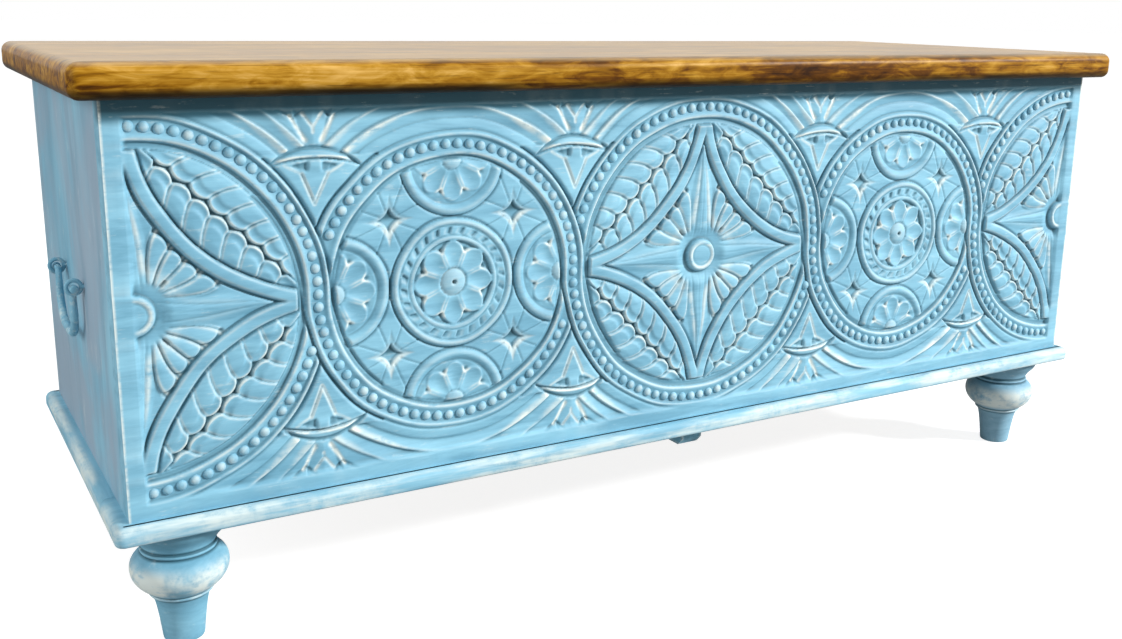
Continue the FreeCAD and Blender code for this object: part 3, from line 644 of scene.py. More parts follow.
def rosette_relief(u, v):
    """A flower in a notched disc, four lunettes against the ring, and a small star between them."""
    r = np.hypot(u, v)
    height = np.full(u.shape, 4.0)
    # The quarters: a pit in a four-pointed star, and fine cuts that spread from it.
    quarter = 63.8
    du, dv = np.abs(u) - quarter, np.abs(v) - quarter
    above = dv * np.sign(v)
    for cut in range(8):
        way = math.radians(22.5 + 45 * cut)
        gap = np.abs(du * math.sin(way) - dv * math.cos(way))
        ahead = (du * math.cos(way) + dv * math.sin(way)) > 9.5
        height = height - 1.5 * vee(gap, 1.0) * ahead
    arms = (np.abs(du) / 28.0) ** 0.55 + (np.abs(dv) / 28.0) ** 0.55
    spike = rise(1 - arms, -0.02, 0.10)
    pit = rise(1 - ((np.abs(du) / 16.0) ** 0.62 + (np.abs(dv) / 15.0) ** 0.62), 0.0, 0.22)
    height = height - 0.9 * spike * (1 - pit) - 3.9 * pit
    # The pit is painted dark on its upper side, a painted shade, and the arms paler on their lower
    # side, rub with a painted highlight.
    pale = spike * (1 - pit) * (rise(above, 3.0, -3.0) * 0.4 + 0.1)
    dark = pit * (rise(above, -1.5, 3.5) * 0.75 + 0.12)
    # Lunettes: half a flower inside a bent band.
    for side_u, side_v, facing in ((1, 0, 180), (0, 1, 270), (-1, 0, 0), (0, -1, 90)):
        lu, lv = u - ROSETTE_FIELD * side_u, v - ROSETTE_FIELD * side_v
        lr = np.hypot(lu, lv)
        half, half_dark, half_pale = flower_relief(lu, lv, facing, 43.0, 9.6, 38.2, 3.6)
        half = np.where(lr > 39.8, 3.6 + 0.6 * rise(lr, 39.0, 41.5), half)
        torus = 6.4 - 0.13 * np.abs(lr - 47.6) ** 1.8
        half = np.where(lr > 41.8, torus, half - 1.2 * vee(lr - 41.3, 1.4))
        half_dark = half_dark * (lr < 40.5)
        half_pale = half_pale * (lr < 40.5) + vee(lr - 48.5, 2.8) * 0.15
        inside = (lr < 52.3) & (r < ROSETTE_FIELD + 0.5)
        height = height - 2.0 * vee(lr - 53.2, 1.6) * (lr >= 52.3)
        height, dark, pale = laid(inside, (half, half_dark, half_pale), (height, dark, pale))
    # The disc in the middle.
    disc, disc_dark, disc_pale = flower_relief(u, v, 0.0, 45.0, 13.2, 39.5, 1.8)
    disc = np.where(r > 40.2, 5.4 - 1.5 * vee(r - 45.6, 1.1) - 1.0 * vee(r - 40.4, 1.0), disc)
    slant = np.degrees(np.arctan2(v, u)) / 360 * CHIPS + (r - 50.0) / 9.5 * 0.32
    spot = slant - np.floor(slant)
    chip = np.clip(1 - (spot - 0.22) / 0.62, 0.0, 1.0) * rise(spot, 0.16, 0.24)
    chip = chip * rise(r - 46.8, 0.0, 1.0) * rise(54.0 - r, 0.0, 1.0)
    disc = disc - 2.4 * chip
    torus = 6.7 - 0.18 * (r - 58.8) ** 2
    disc = np.where(r > 55.4, np.maximum(torus, 3.6), disc - 1.4 * vee(r - 55.2, 1.2))
    seed = rise(2.3 - r, 0.0, 1.0)
    disc = disc - 4.4 * seed
    disc_dark = np.maximum(disc_dark * (r < 41), seed)
    disc_dark = np.maximum(disc_dark, chip * rise(0.6 - spot, 0.0, 0.3) * 0.55)
    ring_rub = (vee(r - 58.4, 2.6) + vee(r - 43.4, 1.6)) * 0.25 + chip * rise(spot, 0.45, 0.7) * 0.6
    disc_pale = disc_pale * (r < 41) + ring_rub
    height = height - 2.0 * vee(r - 63.4, 1.9)
    height, dark, pale = laid(r < 62.4, (disc, disc_dark, disc_pale), (height, dark, pale))
    return height - 1.6 * rise(r, ROSETTE_FIELD - 1.8, ROSETTE_FIELD), dark, pale


def gouged(u, z, ring, height, dark, pale):
    """Gouges that follow a ring outside it, each with a pale flame along its crest."""
    beyond = np.hypot(u, z) - ring["bead"] - ring["outside"]
    up = np.abs(z)
    height = np.where((beyond > 0) & (beyond < 12.0), 4.7 - 0.012 * beyond**2, height)
    height = height - 1.3 * vee(beyond - 12.0, 1.3)
    start = 12.0
    low_end = rise(up, 165.0, 138.0)
    slim = 1.3 + 3.6 * low_end
    for crest in (20.0, 33.0) if ring["star"] else (23.0, 38.0):
        over = beyond - crest
        gouge = 2.0 + 3.0 * np.clip((beyond - start) / (crest - start), 0, 1) ** 1.6
        gouge = np.where(over > 0, 5.0 - 2.2 * over, gouge)
        zone = (beyond > start) & (over < 1.2)
        height = np.where(zone, gouge, height)
        pale = np.where(zone, vee(over + 0.4 * slim, slim) * (0.35 + 0.6 * low_end), pale)
        dark = np.maximum(dark, vee(over - 1.6, 1.3) * 0.55 * (up > 118.0))
        start = crest + 1.2
    return height, dark, pale


def touch_point(left, right):
    """Where the beads of two rings touch, from the middle of the board."""
    return left["middle"] + left["bead"]


def capped(w, z, left, right, height, dark, pale):
    """Between two rings: a forked cut and a zigzag by the border, a crescent cap and a wedge."""
    up = np.abs(z)
    side = np.abs(w)
    room = np.inf
    for ring in (left, right):
        from_middle = np.hypot(w + touch_point(left, right) - ring["middle"], z)
        room = np.minimum(room, from_middle - ring["bead"] - ring["outside"])

    def cut_to(start, end):
        return cut_along(side, up, start, end)

    pale = pale * (1 - 0.5 * rise(side, 58.0, 40.0) * rise(up, 130.0, 136.0))
    field = (side < 6.5 + (up - 136.0) * 0.36) & (up > 132.0)
    fork = np.minimum(cut_to((0.0, 152.0), (9.0, 164.0)), cut_to((0.0, 152.0), (0.0, 147.5)))
    height = np.where(field, 4.0 - 0.16 * side - 1.2 * vee(fork, 1.3), height)
    pale = np.where(field, vee(fork - 0.6, 1.4) * 0.6, pale)
    blade = vee(cut_to((7.5, 141.0), (20.0, 162.0)), np.clip(3.6 - 0.09 * (up - 141.0), 1.2, 4.2))
    height = height - 1.1 * blade
    pale = np.maximum(pale, blade * 0.95)
    border = np.minimum(cut_to((17.0, 159.5), (32.0, 167.5)), cut_to((17.0, 159.5), (8.5, 167.0)))
    border = vee(border, 1.8)
    height = height - 2.0 * border
    dark = np.maximum(dark, border * 0.8)
    # The wedge under the cap: a kite between two cuts, and a three-cornered recess at each side.
    wedge = (room > 0) & (up < 126.0)
    lobes = 2.2 + 2.6 * rise(room, 0.5, 5.0)
    cut = cut_to((11.5, 111.0), (0.0, 84.0))
    lobes = lobes - 1.3 * vee(cut, 1.3) * rise(room, 0.3, 1.5)
    lobes = lobes + 0.8 * rise((up - 84.0) * 0.42 - side, -0.5, 1.5)
    lobes = lobes + 1.4 * rise(side, 7.0, 4.0) * rise(up, 112.0, 119.0)
    across = np.clip((side - 8.0) / 13.0, 0.0, 1.0)
    depth = (121.5 - 3.0 * across - up) / (8.0 * (1 - across) + 0.5)
    recess = rise(depth, -0.1, 0.15) * rise(depth, 1.1, 0.7)
    recess = recess * rise(side, 5.5, 8.0) * rise(side, 22.0, 18.0)
    lobes = lobes - 2.2 * recess
    arm = vee(cut_to((11.5, 111.0), (26.0, 119.0)), 1.8)
    lobe_rub = np.maximum(vee(cut - 1.2, 1.4), arm) * 0.6
    found = laid(wedge, (lobes, recess * 0.5, lobe_rub), (height, dark, pale))
    # The cap: a crescent with its points turned down, rubbed along its lower edge.
    rise_top, rise_low = 13.5, 5.5
    top_radius = (CAP_HALF**2 + rise_top**2) / (2 * rise_top)
    low_radius = (CAP_HALF**2 + rise_low**2) / (2 * rise_low)
    crown = top_radius - np.hypot(w, up - (CAP_FOOT + rise_top - top_radius))
    under = np.hypot(w, up - (CAP_FOOT + rise_low - low_radius)) - low_radius
    in_cap = (crown > -2.5) & (under > -1.6) & (up > 116.0)
    cap = rise(crown, 0.0, 2.6) * rise(under, -0.4, 0.8)
    raised = 5.6 - 0.14 * np.clip(under, 0, 9) + 0.6 * vee(under - 1.6, 2.0)
    cap_rub = vee(under - 1.2, 1.6) * rise(crown, -0.5, 1.0) * 0.8
    crescent = (1.6 + (raised - 1.6) * cap, vee(crown + 1.0, 1.5) * 0.2, cap_rub)
    return laid(in_cap, crescent, found)


def softened(field, width, spacing):
    """The field smoothed by a small bell in both directions."""
    reach = int(3 * width / spacing)
    taps = np.exp(-0.5 * (np.arange(-reach, reach + 1) * spacing / width) ** 2)
    taps /= taps.sum()
    for axis in (0, 1):
        pads = [(reach, reach) if axis == other else (0, 0) for other in (0, 1)]
        padded = np.pad(field, pads, mode="edge")
        if axis == 1:
            padded = np.ascontiguousarray(padded.T)
        count = field.shape[axis]
        field = sum(tap * padded[k:k + count] for k, tap in enumerate(taps))
        if axis == 1:
            field = np.ascontiguousarray(field.T)
    return field


def ringed(u, z, ring, height, dark, pale):
    """A ring with what it holds: the star or the rosette, then the beaded band."""
    across = np.hypot(u, z) - ring["bead"]
    height = height - 1.4 * vee(across - ring["outside"] - 1.0, 1.7)
    inner = star_relief(u, z) if ring["star"] else rosette_relief(u, z)
    found = laid(across < 1.0 - ring["inside"], inner, (height, dark, pale))
    on_band = (across > -ring["inside"]) & (across < ring["outside"])
    return laid(on_band, band_relief(across, ring["inside"], ring["outside"]), found)


def crossed(w, z, left, right, height, dark, pale):
    """The strand that passes over where two rings meet, and the shadow that it cuts beside it."""
    window = np.abs(z) < 95.0
    across, inside, outside = over_strand(w + touch_point(left, right), z, left, right)
    crossing = np.minimum(across + inside, outside - across)
    share = rise(z, -OVER_REACH, OVER_REACH)
    upper = band_relief(across, left["inside"], left["outside"])
    lower = band_relief(-across, right["inside"], right["outside"])
    band, band_dark, band_pale = [share * a + (1 - share) * b for a, b in zip(upper, lower)]
    shadow = window & (crossing > -OVER_GAP) & (crossing <= 0)
    cut = (np.minimum(height, 0.8 - crossing * 1.1), 0.3, 0.0)
    found = laid(shadow, cut, (height, dark, pale))
    band = (band + 0.3) * rise(crossing, -0.6, 1.2)
    return laid(window & (crossing > 0), (band, band_dark, band_pale), found)


def carved_relief(x, z):
    """Height over the sunk ground in millimetres, with the shares of hollow and of pale rub."""
    found = [np.full(x.shape, GROUND), np.zeros(x.shape), np.zeros(x.shape)]

    def work(cutter, middle, reach, *details):
        """Lets a cutter work the stretch of the board that lies within reach of a place."""
        near = np.flatnonzero(np.abs(x[:, 0] - middle) < reach)
        part = slice(near[0], near[-1] + 1)
        before = [field[part] for field in found]
        for field, new in zip(found, cutter(x[part] - middle, z[part], *details, *before)):
            field[part] = new

    for ring in RINGS:
        work(gouged, ring["middle"], ring["bead"] + ring["outside"] + 42.0, ring)
    for pair in CROSSINGS:
        work(capped, touch_point(*pair), 60.0, *pair)
    for ring in RINGS:
        work(ringed, ring["middle"], ring["bead"] + ring["outside"] + 4.0, ring)
    for pair in CROSSINGS:
        work(crossed, touch_point(*pair), 60.0, *pair)
    border = np.minimum(ZONE_LENGTH + 1.5 - np.abs(x), ZONE_HEIGHT + 0.5 - np.abs(z))
    margin = rise(-border, -5.5, 1.0)
    height, dark, pale = found
    return height * (1 - margin) + RELIEF * margin, dark * (1 - margin), pale * (1 - margin)


def carving_lines(zone):
    """Even steps from edge to edge of the carving, two to each line of the mesh."""
    count = int(round((zone + 2.0) / GRID_PITCH))
    return np.linspace(-zone - 2.0, zone + 2.0, 4 * count + 1)


def board_lines(low, high, steps):
    """The lines of the mesh: close together over the carving and few in the flat margins."""
    dense = steps[::2]
    before = np.linspace(low, dense[0], MARGIN_LINES + 1)[:-1]
    after = np.linspace(dense[-1], high, MARGIN_LINES + 1)[1:]
    return np.concatenate([before, dense, after])


centre = (PANEL_LOW + PANEL_HIGH) / 2
steps_x, steps_z = carving_lines(ZONE_LENGTH), carving_lines(ZONE_HEIGHT)
cut_x, cut_z = np.meshgrid(steps_x, steps_z, indexing="ij")
dice = np.random.default_rng(7)
wobble_x = np.zeros(cut_x.shape)
wobble_z = np.zeros(cut_x.shape)
uneven = np.zeros(cut_x.shape)
for _ in range(14):
    pull = dice.uniform(-0.09, 0.09, 2)
    phase = dice.uniform(0, 6.28, 3)
    wobble_x += 0.16 * np.sin(cut_x * pull[0] + cut_z * pull[1] + phase[0])
    wobble_z += 0.16 * np.sin(cut_x * pull[1] - cut_z * pull[0] + phase[1])
    uneven += 0.05 * np.sin(2.3 * (cut_x * pull[0] - cut_z * pull[1]) + phase[2])
relief, cut_shade, rim_rub = carved_relief(cut_x + wobble_x, cut_z + wobble_z)
on_carving = (np.abs(cut_x) < ZONE_LENGTH) & (np.abs(cut_z) < ZONE_HEIGHT)
relief = np.clip(relief + uneven * on_carving, 0.0, RELIEF)
# Every cut is softened a little, then every second line kept.
fields = [softened(field, 0.5, GRID_PITCH / 2) for field in (relief, cut_shade, rim_rub)]
relief, cut_shade, rim_rub = [field[::2, ::2] for field in fields]
over_fine = relief - softened(relief, 1.5, GRID_PITCH)
over_wide = relief - softened(relief, 4.2, GRID_PITCH)
ridge = np.clip((over_fine - 0.15) * 1.2, 0, 1) * 0.22
ridge = ridge + np.clip((over_wide - 0.8) * 0.3, 0, 1) * 0.1
ridge = np.clip(ridge + rim_rub, 0.0, 1.0)
# Painted shade with dark wax: the carving is darkened where it lies below its surroundings.
sunk = np.clip((-over_fine - 0.05) * 1.6, 0, 1) * 0.5
sunk = sunk + np.clip((-over_wide - 0.5) * 0.3, 0, 1) * 0.4
sunk = np.clip(np.maximum(sunk, cut_shade), 0.0, 1.0)
relief, ridge, sunk = [np.pad(field, MARGIN_LINES, mode="edge") for field in (relief, ridge, sunk)]
top_edge = (PANEL_HIGH.z - centre.z) / MM
columns = board_lines(PANEL_LOW.x / MM, PANEL_HIGH.x / MM, steps_x)
lines = board_lines((PANEL_LOW.z - centre.z) / MM, top_edge, steps_z)
face_x, face_z = np.meshgrid(columns, lines, indexing="ij")
# A painted shadow darkens the strip under the lid.
sunk = np.maximum(sunk, 0.92 * rise(face_z, top_edge - 24.0, top_edge - 13.0))
face_y = PANEL_LOW.y + (RELIEF - relief) * MM
face_points = np.stack([face_x * MM, face_y, centre.z + face_z * MM], axis=-1)
face_normals = np.cross(np.gradient(face_points, axis=0), np.gradient(face_points, axis=1))
face_normals /= np.linalg.norm(face_normals, axis=-1, keepdims=True)


def carved_strip(name, first, last):
    """A length of the carved board as a closed mesh, with normals that run on to its neighbours."""
    points = face_points[first:last + 1]
    count_x, count_z = points.shape[:2]
    index = np.arange(count_x * count_z).reshape(count_x, count_z)
    quads = np.stack([index[:-1, :-1], index[1:, :-1], index[1:, 1:], index[:-1, 1:]], axis=-1)
    quads = quads.reshape(-1, 4)
    loop = np.concatenate([index[:, 0], index[-1, 1:], index[-2::-1, -1], index[0, -2:0:-1]])
    rim = points.reshape(-1, 3)[loop].copy()
    rim[:, 1] = PANEL_HIGH.y
    vertices = np.concatenate([points.reshape(-1, 3), rim])
    behind = count_x * count_z + np.arange(len(loop))
    walls = np.stack([np.roll(loop, -1), loop, behind, np.roll(behind, -1)], axis=-1)
    faces = quads.tolist() + walls.tolist() + [behind[::-1].tolist()]
    piece = new_piece(name, vertices.tolist(), faces)
    mesh = piece.data
    mesh.polygons.foreach_set("use_smooth", [True] * len(quads) + [False] * (len(walls) + 1))
    for label, values in (("ridge", ridge), ("sunk", sunk)):
        store = mesh.attributes.new(label, "FLOAT", "POINT")
        filled = np.concatenate([values[first:last + 1].ravel(), np.zeros(len(loop))])
        store.data.foreach_set("value", filled.astype(np.float32))
    mesh.update()
    corner_vertex = np.zeros(len(mesh.loops), np.int32)
    mesh.loops.foreach_get("vertex_index", corner_vertex)
    normals = np.zeros((len(mesh.loops), 3))
    seams = np.zeros(len(vertices), bool)
    seams[index[0]] = True
    seams[index[-1]] = True
    on_face = np.arange(len(mesh.loops)) < 4 * len(quads)
    chosen = seams[corner_vertex] & on_face
    own_normals = face_normals[first:last + 1].reshape(-1, 3)
    normals[chosen] = own_normals[corner_vertex[chosen]]
    mesh.normals_split_custom_set(normals.tolist())
    return piece


def ridge_rub(finish):
    corners = near_upright_corners(finish).step(0.003, 0.0) * 0.8
    return (finish.attribute("ridge") * 1.25).most(corners)


# Painted shade with dark wax in the cuts, and the painted shadow under the lid.
def cut_wax_and_shade(finish):
    return finish.attribute("sunk")


front_paint = chalk_paint("carved_chalk_paint", (9.0, 60.0, 70.0), ridge_rub, cut_wax_and_shade)
strip_ends = np.linspace(0, len(columns) - 1, STRIPS + 1).astype(int)
for number, (first, last) in enumerate(zip(strip_ends, strip_ends[1:])):
    strip = carved_strip(f"carved_front_{number + 1}", first, last)
    dress(strip, front_paint, "carcass", "carved_paint", "front_panel")


# The beads of the rings, cut in the solid board like the rest: some three hundred small domes in
# the troughs, one strand passing over the other at each crossing.

BEAD_PITCH = 12.0


def strand_points(left, right, over):
    """The middle of the beads along one strand, from the top of one ring to the foot of the next."""
    high, deep = (left, right) if over else (right, left)
    bends = np.linspace(0, math.pi / 2, 400)
    path = []
    for z in np.concatenate([high["bead"] * np.cos(bends), -deep["bead"] * np.sin(bends)[1:]]):
        on_left = left["middle"] + math.sqrt(max(left["bead"] ** 2 - z * z, 0))
        on_right = right["middle"] - math.sqrt(max(right["bead"] ** 2 - z * z, 0))
        share = rise(z, -OVER_REACH, OVER_REACH) if over else float(z < 0)
        path.append((share * on_left + (1 - share) * on_right, z))
    path = np.array(path)
    lengths = np.concatenate([[0], np.cumsum(np.hypot(*np.diff(path, axis=0).T))])
    count = int(round(lengths[-1] / BEAD_PITCH))
    stops = (np.arange(count) + 0.5) * lengths[-1] / count
    return np.stack([np.interp(stops, lengths, way) for way in path.T], axis=-1)


seats = []
for left, right in CROSSINGS:
    seats.append(strand_points(left, right, over=True))
    under = strand_points(left, right, over=False)
    across, inside, outside = over_strand(under[:, 0], under[:, 1], left, right)
    seats.append(under[(across < -inside - OVER_GAP) | (across > outside + OVER_GAP)])
seats = np.concatenate(seats)
seats = seats[np.abs(seats[:, 0]) < ZONE_LENGTH - 2.0]
seat_y = PANEL_LOW.y + (RELIEF - BEAD_BED + 0.9) * MM


def settled_mesh(piece):
    """The mesh of a piece with its modifier worked out."""
    bpy.context.view_layer.update()
    graph = bpy.context.evaluated_depsgraph_get()
    return bpy.data.meshes.new_from_object(piece.evaluated_get(graph), depsgraph=graph)


class Growth(Nodes):
    """A Geometry Nodes tree in the making, with named inputs for its sizes."""

    def __init__(self, name, sizes):
        super().__init__(bpy.data.node_groups.new(name, "GeometryNodeTree"))
        self.sizes = sizes
        sockets = self.tree.interface
        for way in ("INPUT", "OUTPUT"):
            sockets.new_socket("Geometry", in_out=way, socket_type="NodeSocketGeometry")
        for label, (kind, _) in sizes.items():
            sockets.new_socket(label, in_out="INPUT", socket_type=kind)
        start = self.tree.nodes.new("NodeGroupInput")
        self.given = {socket.name: Wire(self, socket) for socket in start.outputs}
        self.end = self.tree.nodes.new("NodeGroupOutput")

    def grow(self, seed_object, result, material):
        """Ends the tree in Realize Instances and Set Material, and turns it into a plain mesh."""
        whole = self.add("GeometryNodeRealizeInstances", {}, {0: result})
        coated = self.add("GeometryNodeSetMaterial", {}, {"Geometry": whole, "Material": material})
        self.feed(self.end, {0: coated})
        modifier = seed_object.modifiers.new("growth", "NODES")
        modifier.node_group = self.tree
        for item in self.tree.interface.items_tree:
            if item.in_out == "INPUT" and item.name in self.sizes:
                modifier[item.identifier] = self.sizes[item.name][1]
        mesh = settled_mesh(seed_object)
        mesh.name = seed_object.name
        bpy.data.objects.remove(seed_object)
        return put_in(mesh.name, mesh)


def bead_rub(finish):
    crown = finish.along("Y").step(PANEL_LOW.y + 0.0034, PANEL_LOW.y + 0.0006)
    return crown * (finish.cloud((55.0, 55.0, 55.0)).step(0.35, 0.65) * 0.4 + 0.08)


# Darker towards the bead's foot: dark wax, and painted shade where the bead meets its bed.
def bead_foot_wax_and_shade(finish):
    return finish.along("Y").step(PANEL_LOW.y + 0.0024, PANEL_LOW.y + 0.0042) * 0.55


bead_paint = chalk_paint("bead_chalk_paint", (60.0, 60.0, 60.0), bead_rub, bead_foot_wax_and_shade)
beading = Growth("beading", {
    "Bead radius": ("NodeSocketFloat", 5.5 * MM),
    "Bead height": ("NodeSocketFloat", 4.6 * MM),
    "Unevenness": ("NodeSocketFloat", 0.07),
    "Seed": ("NodeSocketInt", 11),
})
given = beading.given
dome = beading.add("GeometryNodeMeshUVSphere", {}, {"Segments": 10, "Rings": 6, "Radius": 1.0})
dome = beading.add("GeometryNodeSetShadeSmooth", {}, {0: dome})
chance = {2: 1.0 - given["Unevenness"], 3: 1.0, "Seed": given["Seed"]}
share = beading.add("FunctionNodeRandomValue", {"data_type": "FLOAT"}, chance, 1)
wide = share * given["Bead radius"]
size = beading.add("ShaderNodeCombineXYZ", {}, {0: wide, 1: given["Bead height"], 2: wide})
cut_domes = {"Points": given["Geometry"], "Instance": dome, "Scale": size}
placed = beading.add("GeometryNodeInstanceOnPoints", {}, cut_domes)
bead_points = [(x * MM, seat_y, centre.z + z * MM) for x, z in seats]
beads = beading.grow(new_piece("carved_beads", bead_points), placed, bead_paint)
dress(beads, bead_paint, "carcass", "carved_paint")


# The feet: four turned in the lathe from 90 mm billets, with a tenon glued into the base rail.
# A flared collar, a ring between two grooves, a ball like a full apple, a bead and a toe.

FOOT_TOP = 121.0
FOOT_OUTLINE = [
    (17.4, 0.0), (18.4, 1.2), (19.2, 8.0), (20.4, 18.0), (21.8, 28.0), (23.4, 37.0),
    (25.2, 43.0), (26.8, 45.4), (28.0, 46.2), (28.9, 47.2), (28.9, 48.4), (28.2, 49.3),
    (29.6, 50.4), (33.2, 53.2), (37.6, 57.2), (41.2, 62.2), (43.4, 67.8), (43.9, 73.2),
    (42.9, 78.6), (40.2, 83.2), (36.6, 86.6), (33.8, 88.2), (33.0, 88.9), (33.8, 89.8),
    (34.3, 91.0), (33.8, 92.2), (32.7, 93.0), (32.5, 93.8), (33.2, 95.4), (34.6, 98.4),
    (37.4, 102.6), (41.4, 107.0), (44.2, 111.2), (45.0, 115.0), (45.0, FOOT_TOP),
]


def round_turn(count):
    """Even steps once round, in radians."""
    return [2 * math.pi * step / count for step in range(count)]


def turned_foot(name, x, y):
    """The outline, radii and heights in millimetres, spun smooth round its axis."""
    rows = [np.array(row) for row in FOOT_OUTLINE]
    fine = []
    for number in range(len(rows) - 1):
        here, there = rows[number], rows[number + 1]
        pull_in = (there - rows[max(number - 1, 0)]) / 2
        pull_out = (rows[min(number + 2, len(rows) - 1)] - here) / 2
        for step in range(3):
            t = step / 3
            fine.append(
                (2 * t**3 - 3 * t**2 + 1) * here + (t**3 - 2 * t**2 + t) * pull_in
                + (3 * t**2 - 2 * t**3) * there + (t**3 - t**2) * pull_out
            )
    fine.append(rows[-1])
    around = 56
    points = []
    for radius, z in fine:
        z = min(max(z, 0.0), FOOT_TOP)
        for turn in round_turn(around):
            points.append((x + radius * MM * math.cos(turn), y + radius * MM * math.sin(turn), z * MM))
    faces = joined_rows(len(fine), around)
    last = len(points) - around
    toe, head = len(points), len(points) + 1
    points += [(x, y, 0.0), (x, y, FOOT_TOP * MM)]
    for side in range(around):
        after = (side + 1) % around
        faces.append((after, side, toe))
        faces.append((last + side, last + after, head))
    return smoothed(new_piece(name, points, faces), 50)


def foot_rub(finish):
    """Pale round the belly of the ball, in patches, and along the bead."""
    z = finish.along("Z")
    belly = z.between(0.050, 0.058, 0.074, 0.086)
    bead = z.between(0.0465, 0.0475, 0.0485, 0.0495)
    patch = finish.cloud((24.0, 24.0, 18.0), 4.0, 0.6).step(0.28, 0.52)
    return (belly * 0.85 * patch).most(bead * 0.4)


def foot_wax_and_shade(finish):
    """Dark wax and painted shade in the grooves over and under the ball and the bead, and a little up
    the collar.
    """
    z = finish.along("Z")
    neck = z.between(0.0915, 0.0930, 0.0945, 0.097)
    low_neck = z.between(0.0870, 0.0886, 0.0892, 0.0905)
    waist = z.between(0.0485, 0.0492, 0.0496, 0.0515)
    under_bead = z.between(0.0430, 0.0455, 0.0460, 0.0472)
    # Painted shadow under the base, a little up the collar.
    collar = z.step(0.0930, 0.1080) * 0.35
    return neck.most(low_neck).most(waist).most(under_bead * 0.8).most(collar) * 0.8


foot_paint = chalk_paint("foot_chalk_paint", (26.0, 26.0, 60.0), foot_rub, foot_wax_and_shade, grey=0.3)
for row in ("front", "back"):
    low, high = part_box(f"{row}_feet")
    y = (low.y + high.y) / 2
    for end, side in (("left", -1), ("right", 1)):
        x = side * (high.x - FOOT_OUTLINE[-1][0] * MM)
        foot = turned_foot(f"{row}_{end}_foot", x, y)
        dress(foot, foot_paint, "carcass", "foot_paint", f"{row}_feet")


# The handles: a bail forged from round bar, thick in the grip and thin where it turns out through
# two screw eyes in the side panel, all brushed over with the same blue.

EYE_Z = 315.0
EYE_SPACING = 107.0
EYE_WIRE = 2.0
EYE_RING = 6.6
SHANK = 2.3
SIDE_FACE = 595.0
BAIL_OUT = 9.0
BAIL_PIVOT = 313.7
BAIL_DROP = 50.0
BAIL_CORNER = 27.0
ELBOW = 5.0
BAIL_MIDDLE = (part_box("left_bail")[0].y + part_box("left_bail")[1].y) / 2 / MM


def bar_along(path, radii, around, closed=False):
    """A round bar along a path of points, with a radius at each; an open bar has closed ends."""
    path = np.array(path, float)
    if closed:
        tangents = np.roll(path, -1, axis=0) - np.roll(path, 1, axis=0)
    else:
        tangents = np.gradient(path, axis=0)
    tangents /= np.linalg.norm(tangents, axis=1, keepdims=True)
    flat = np.array([0.0, 1.0, 0.0] if closed else [1.0, 0.0, 0.0])
    points = []
    for spot, way, radius in zip(path, tangents, radii):
        side = np.cross(way, flat)
        side /= np.linalg.norm(side)
        for turn in round_turn(around):
            points.append(tuple(spot + radius * (math.cos(turn) * flat + math.sin(turn) * side)))
    faces = joined_rows(len(path), around, closed)
    if not closed:
        faces.append(tuple(reversed(range(around))))
        faces.append(tuple(range(len(points) - around, len(points))))
    return points, faces


def forged(name, points, faces):
    """A mesh in millimetres made an object in metres, its faces turned outwards."""
    piece = new_piece(name, [tuple(MM * value for value in point) for point in points], faces)
    work = bmesh.new()
    work.from_mesh(piece.data)
    bmesh.ops.recalc_face_normals(work, faces=work.faces)
    work.to_mesh(piece.data)
    work.free()
    return smoothed(piece, 60)


def bail_path(x):
    """The bail from tip to tip, with the bar's radius at each point."""
    half = EYE_SPACING / 2 - EYE_WIRE - 2.0 - ELBOW
    bend = BAIL_PIVOT - BAIL_DROP + BAIL_CORNER
    tip = [(58.8, 0.6), (58.7, 2.6), (58.2, 3.7), (57.4, 4.15), (56.4, 4.1), (55.9, 3.4), (55.4, 3.0)]
    rows = [(across, BAIL_PIVOT, radius) for across, radius in tip]
    for step in range(7):
        turn = math.pi / 2 * step / 6
        across, drop = half + ELBOW * (1 - math.sin(turn)), ELBOW * (1 - math.cos(turn))
        rows.append((across, BAIL_PIVOT - drop, 3.0))
    for step in range(1, 5):
        drop = (BAIL_PIVOT - ELBOW - bend) * step / 5
        rows.append((half, BAIL_PIVOT - ELBOW - drop, 3.0 + 0.5 * step / 5))
    for step in range(11):
        turn = math.pi / 2 * (1 - step / 10)
        across, drop = half - BAIL_CORNER * (1 - math.sin(turn)), BAIL_CORNER * math.cos(turn)
        rows.append((across, bend - drop, 3.5 + 0.5 * step / 10))
    for step in range(1, 4):
        rows.append(((half - BAIL_CORNER) * (1 - step / 4), bend - BAIL_CORNER, 4.0))
    first = [(x, BAIL_MIDDLE - across, z) for across, z, _ in rows]
    second = [(x, BAIL_MIDDLE + across, z) for across, z, _ in rows]
    path = first + [(x, BAIL_MIDDLE, bend - BAIL_CORNER)] + second[::-1]
    radii = [radius for _, _, radius in rows]
    return path, radii + [4.0] + radii[::-1]


def shifted(faces, by):
    """The same faces, for points that come later in the list."""
    return [tuple(corner + by for corner in face) for face in faces]


def screw_eye(side, y):
    """A ring of wire, and the shank that holds it in the side panel."""
    x = side * (SIDE_FACE + BAIL_OUT)
    ring = []
    for turn in round_turn(28):
        ring.append((x + EYE_RING * math.cos(turn), y, EYE_Z + EYE_RING * math.sin(turn)))
    points, faces = bar_along(ring, [EYE_WIRE] * len(ring), 12, closed=True)
    first = len(points)
    for out in (-14.0, 2.8):
        for turn in round_turn(16):
            across, up = SHANK * math.cos(turn), SHANK * math.sin(turn)
            points.append((side * (SIDE_FACE + out), y + across, EYE_Z + up))
    shank = joined_rows(2, 16) + [tuple(range(16)), tuple(range(16, 32))]
    return points, faces + shifted(shank, first)


def iron_rub(finish):
    return finish.cloud((70.0, 70.0, 70.0), 4.0, 0.65).step(0.45, 0.7) * 0.8


def iron_wax(finish):
    return finish.cloud((45.0, 45.0, 45.0), 4.0, 0.65).step(0.58, 0.8) * 0.6


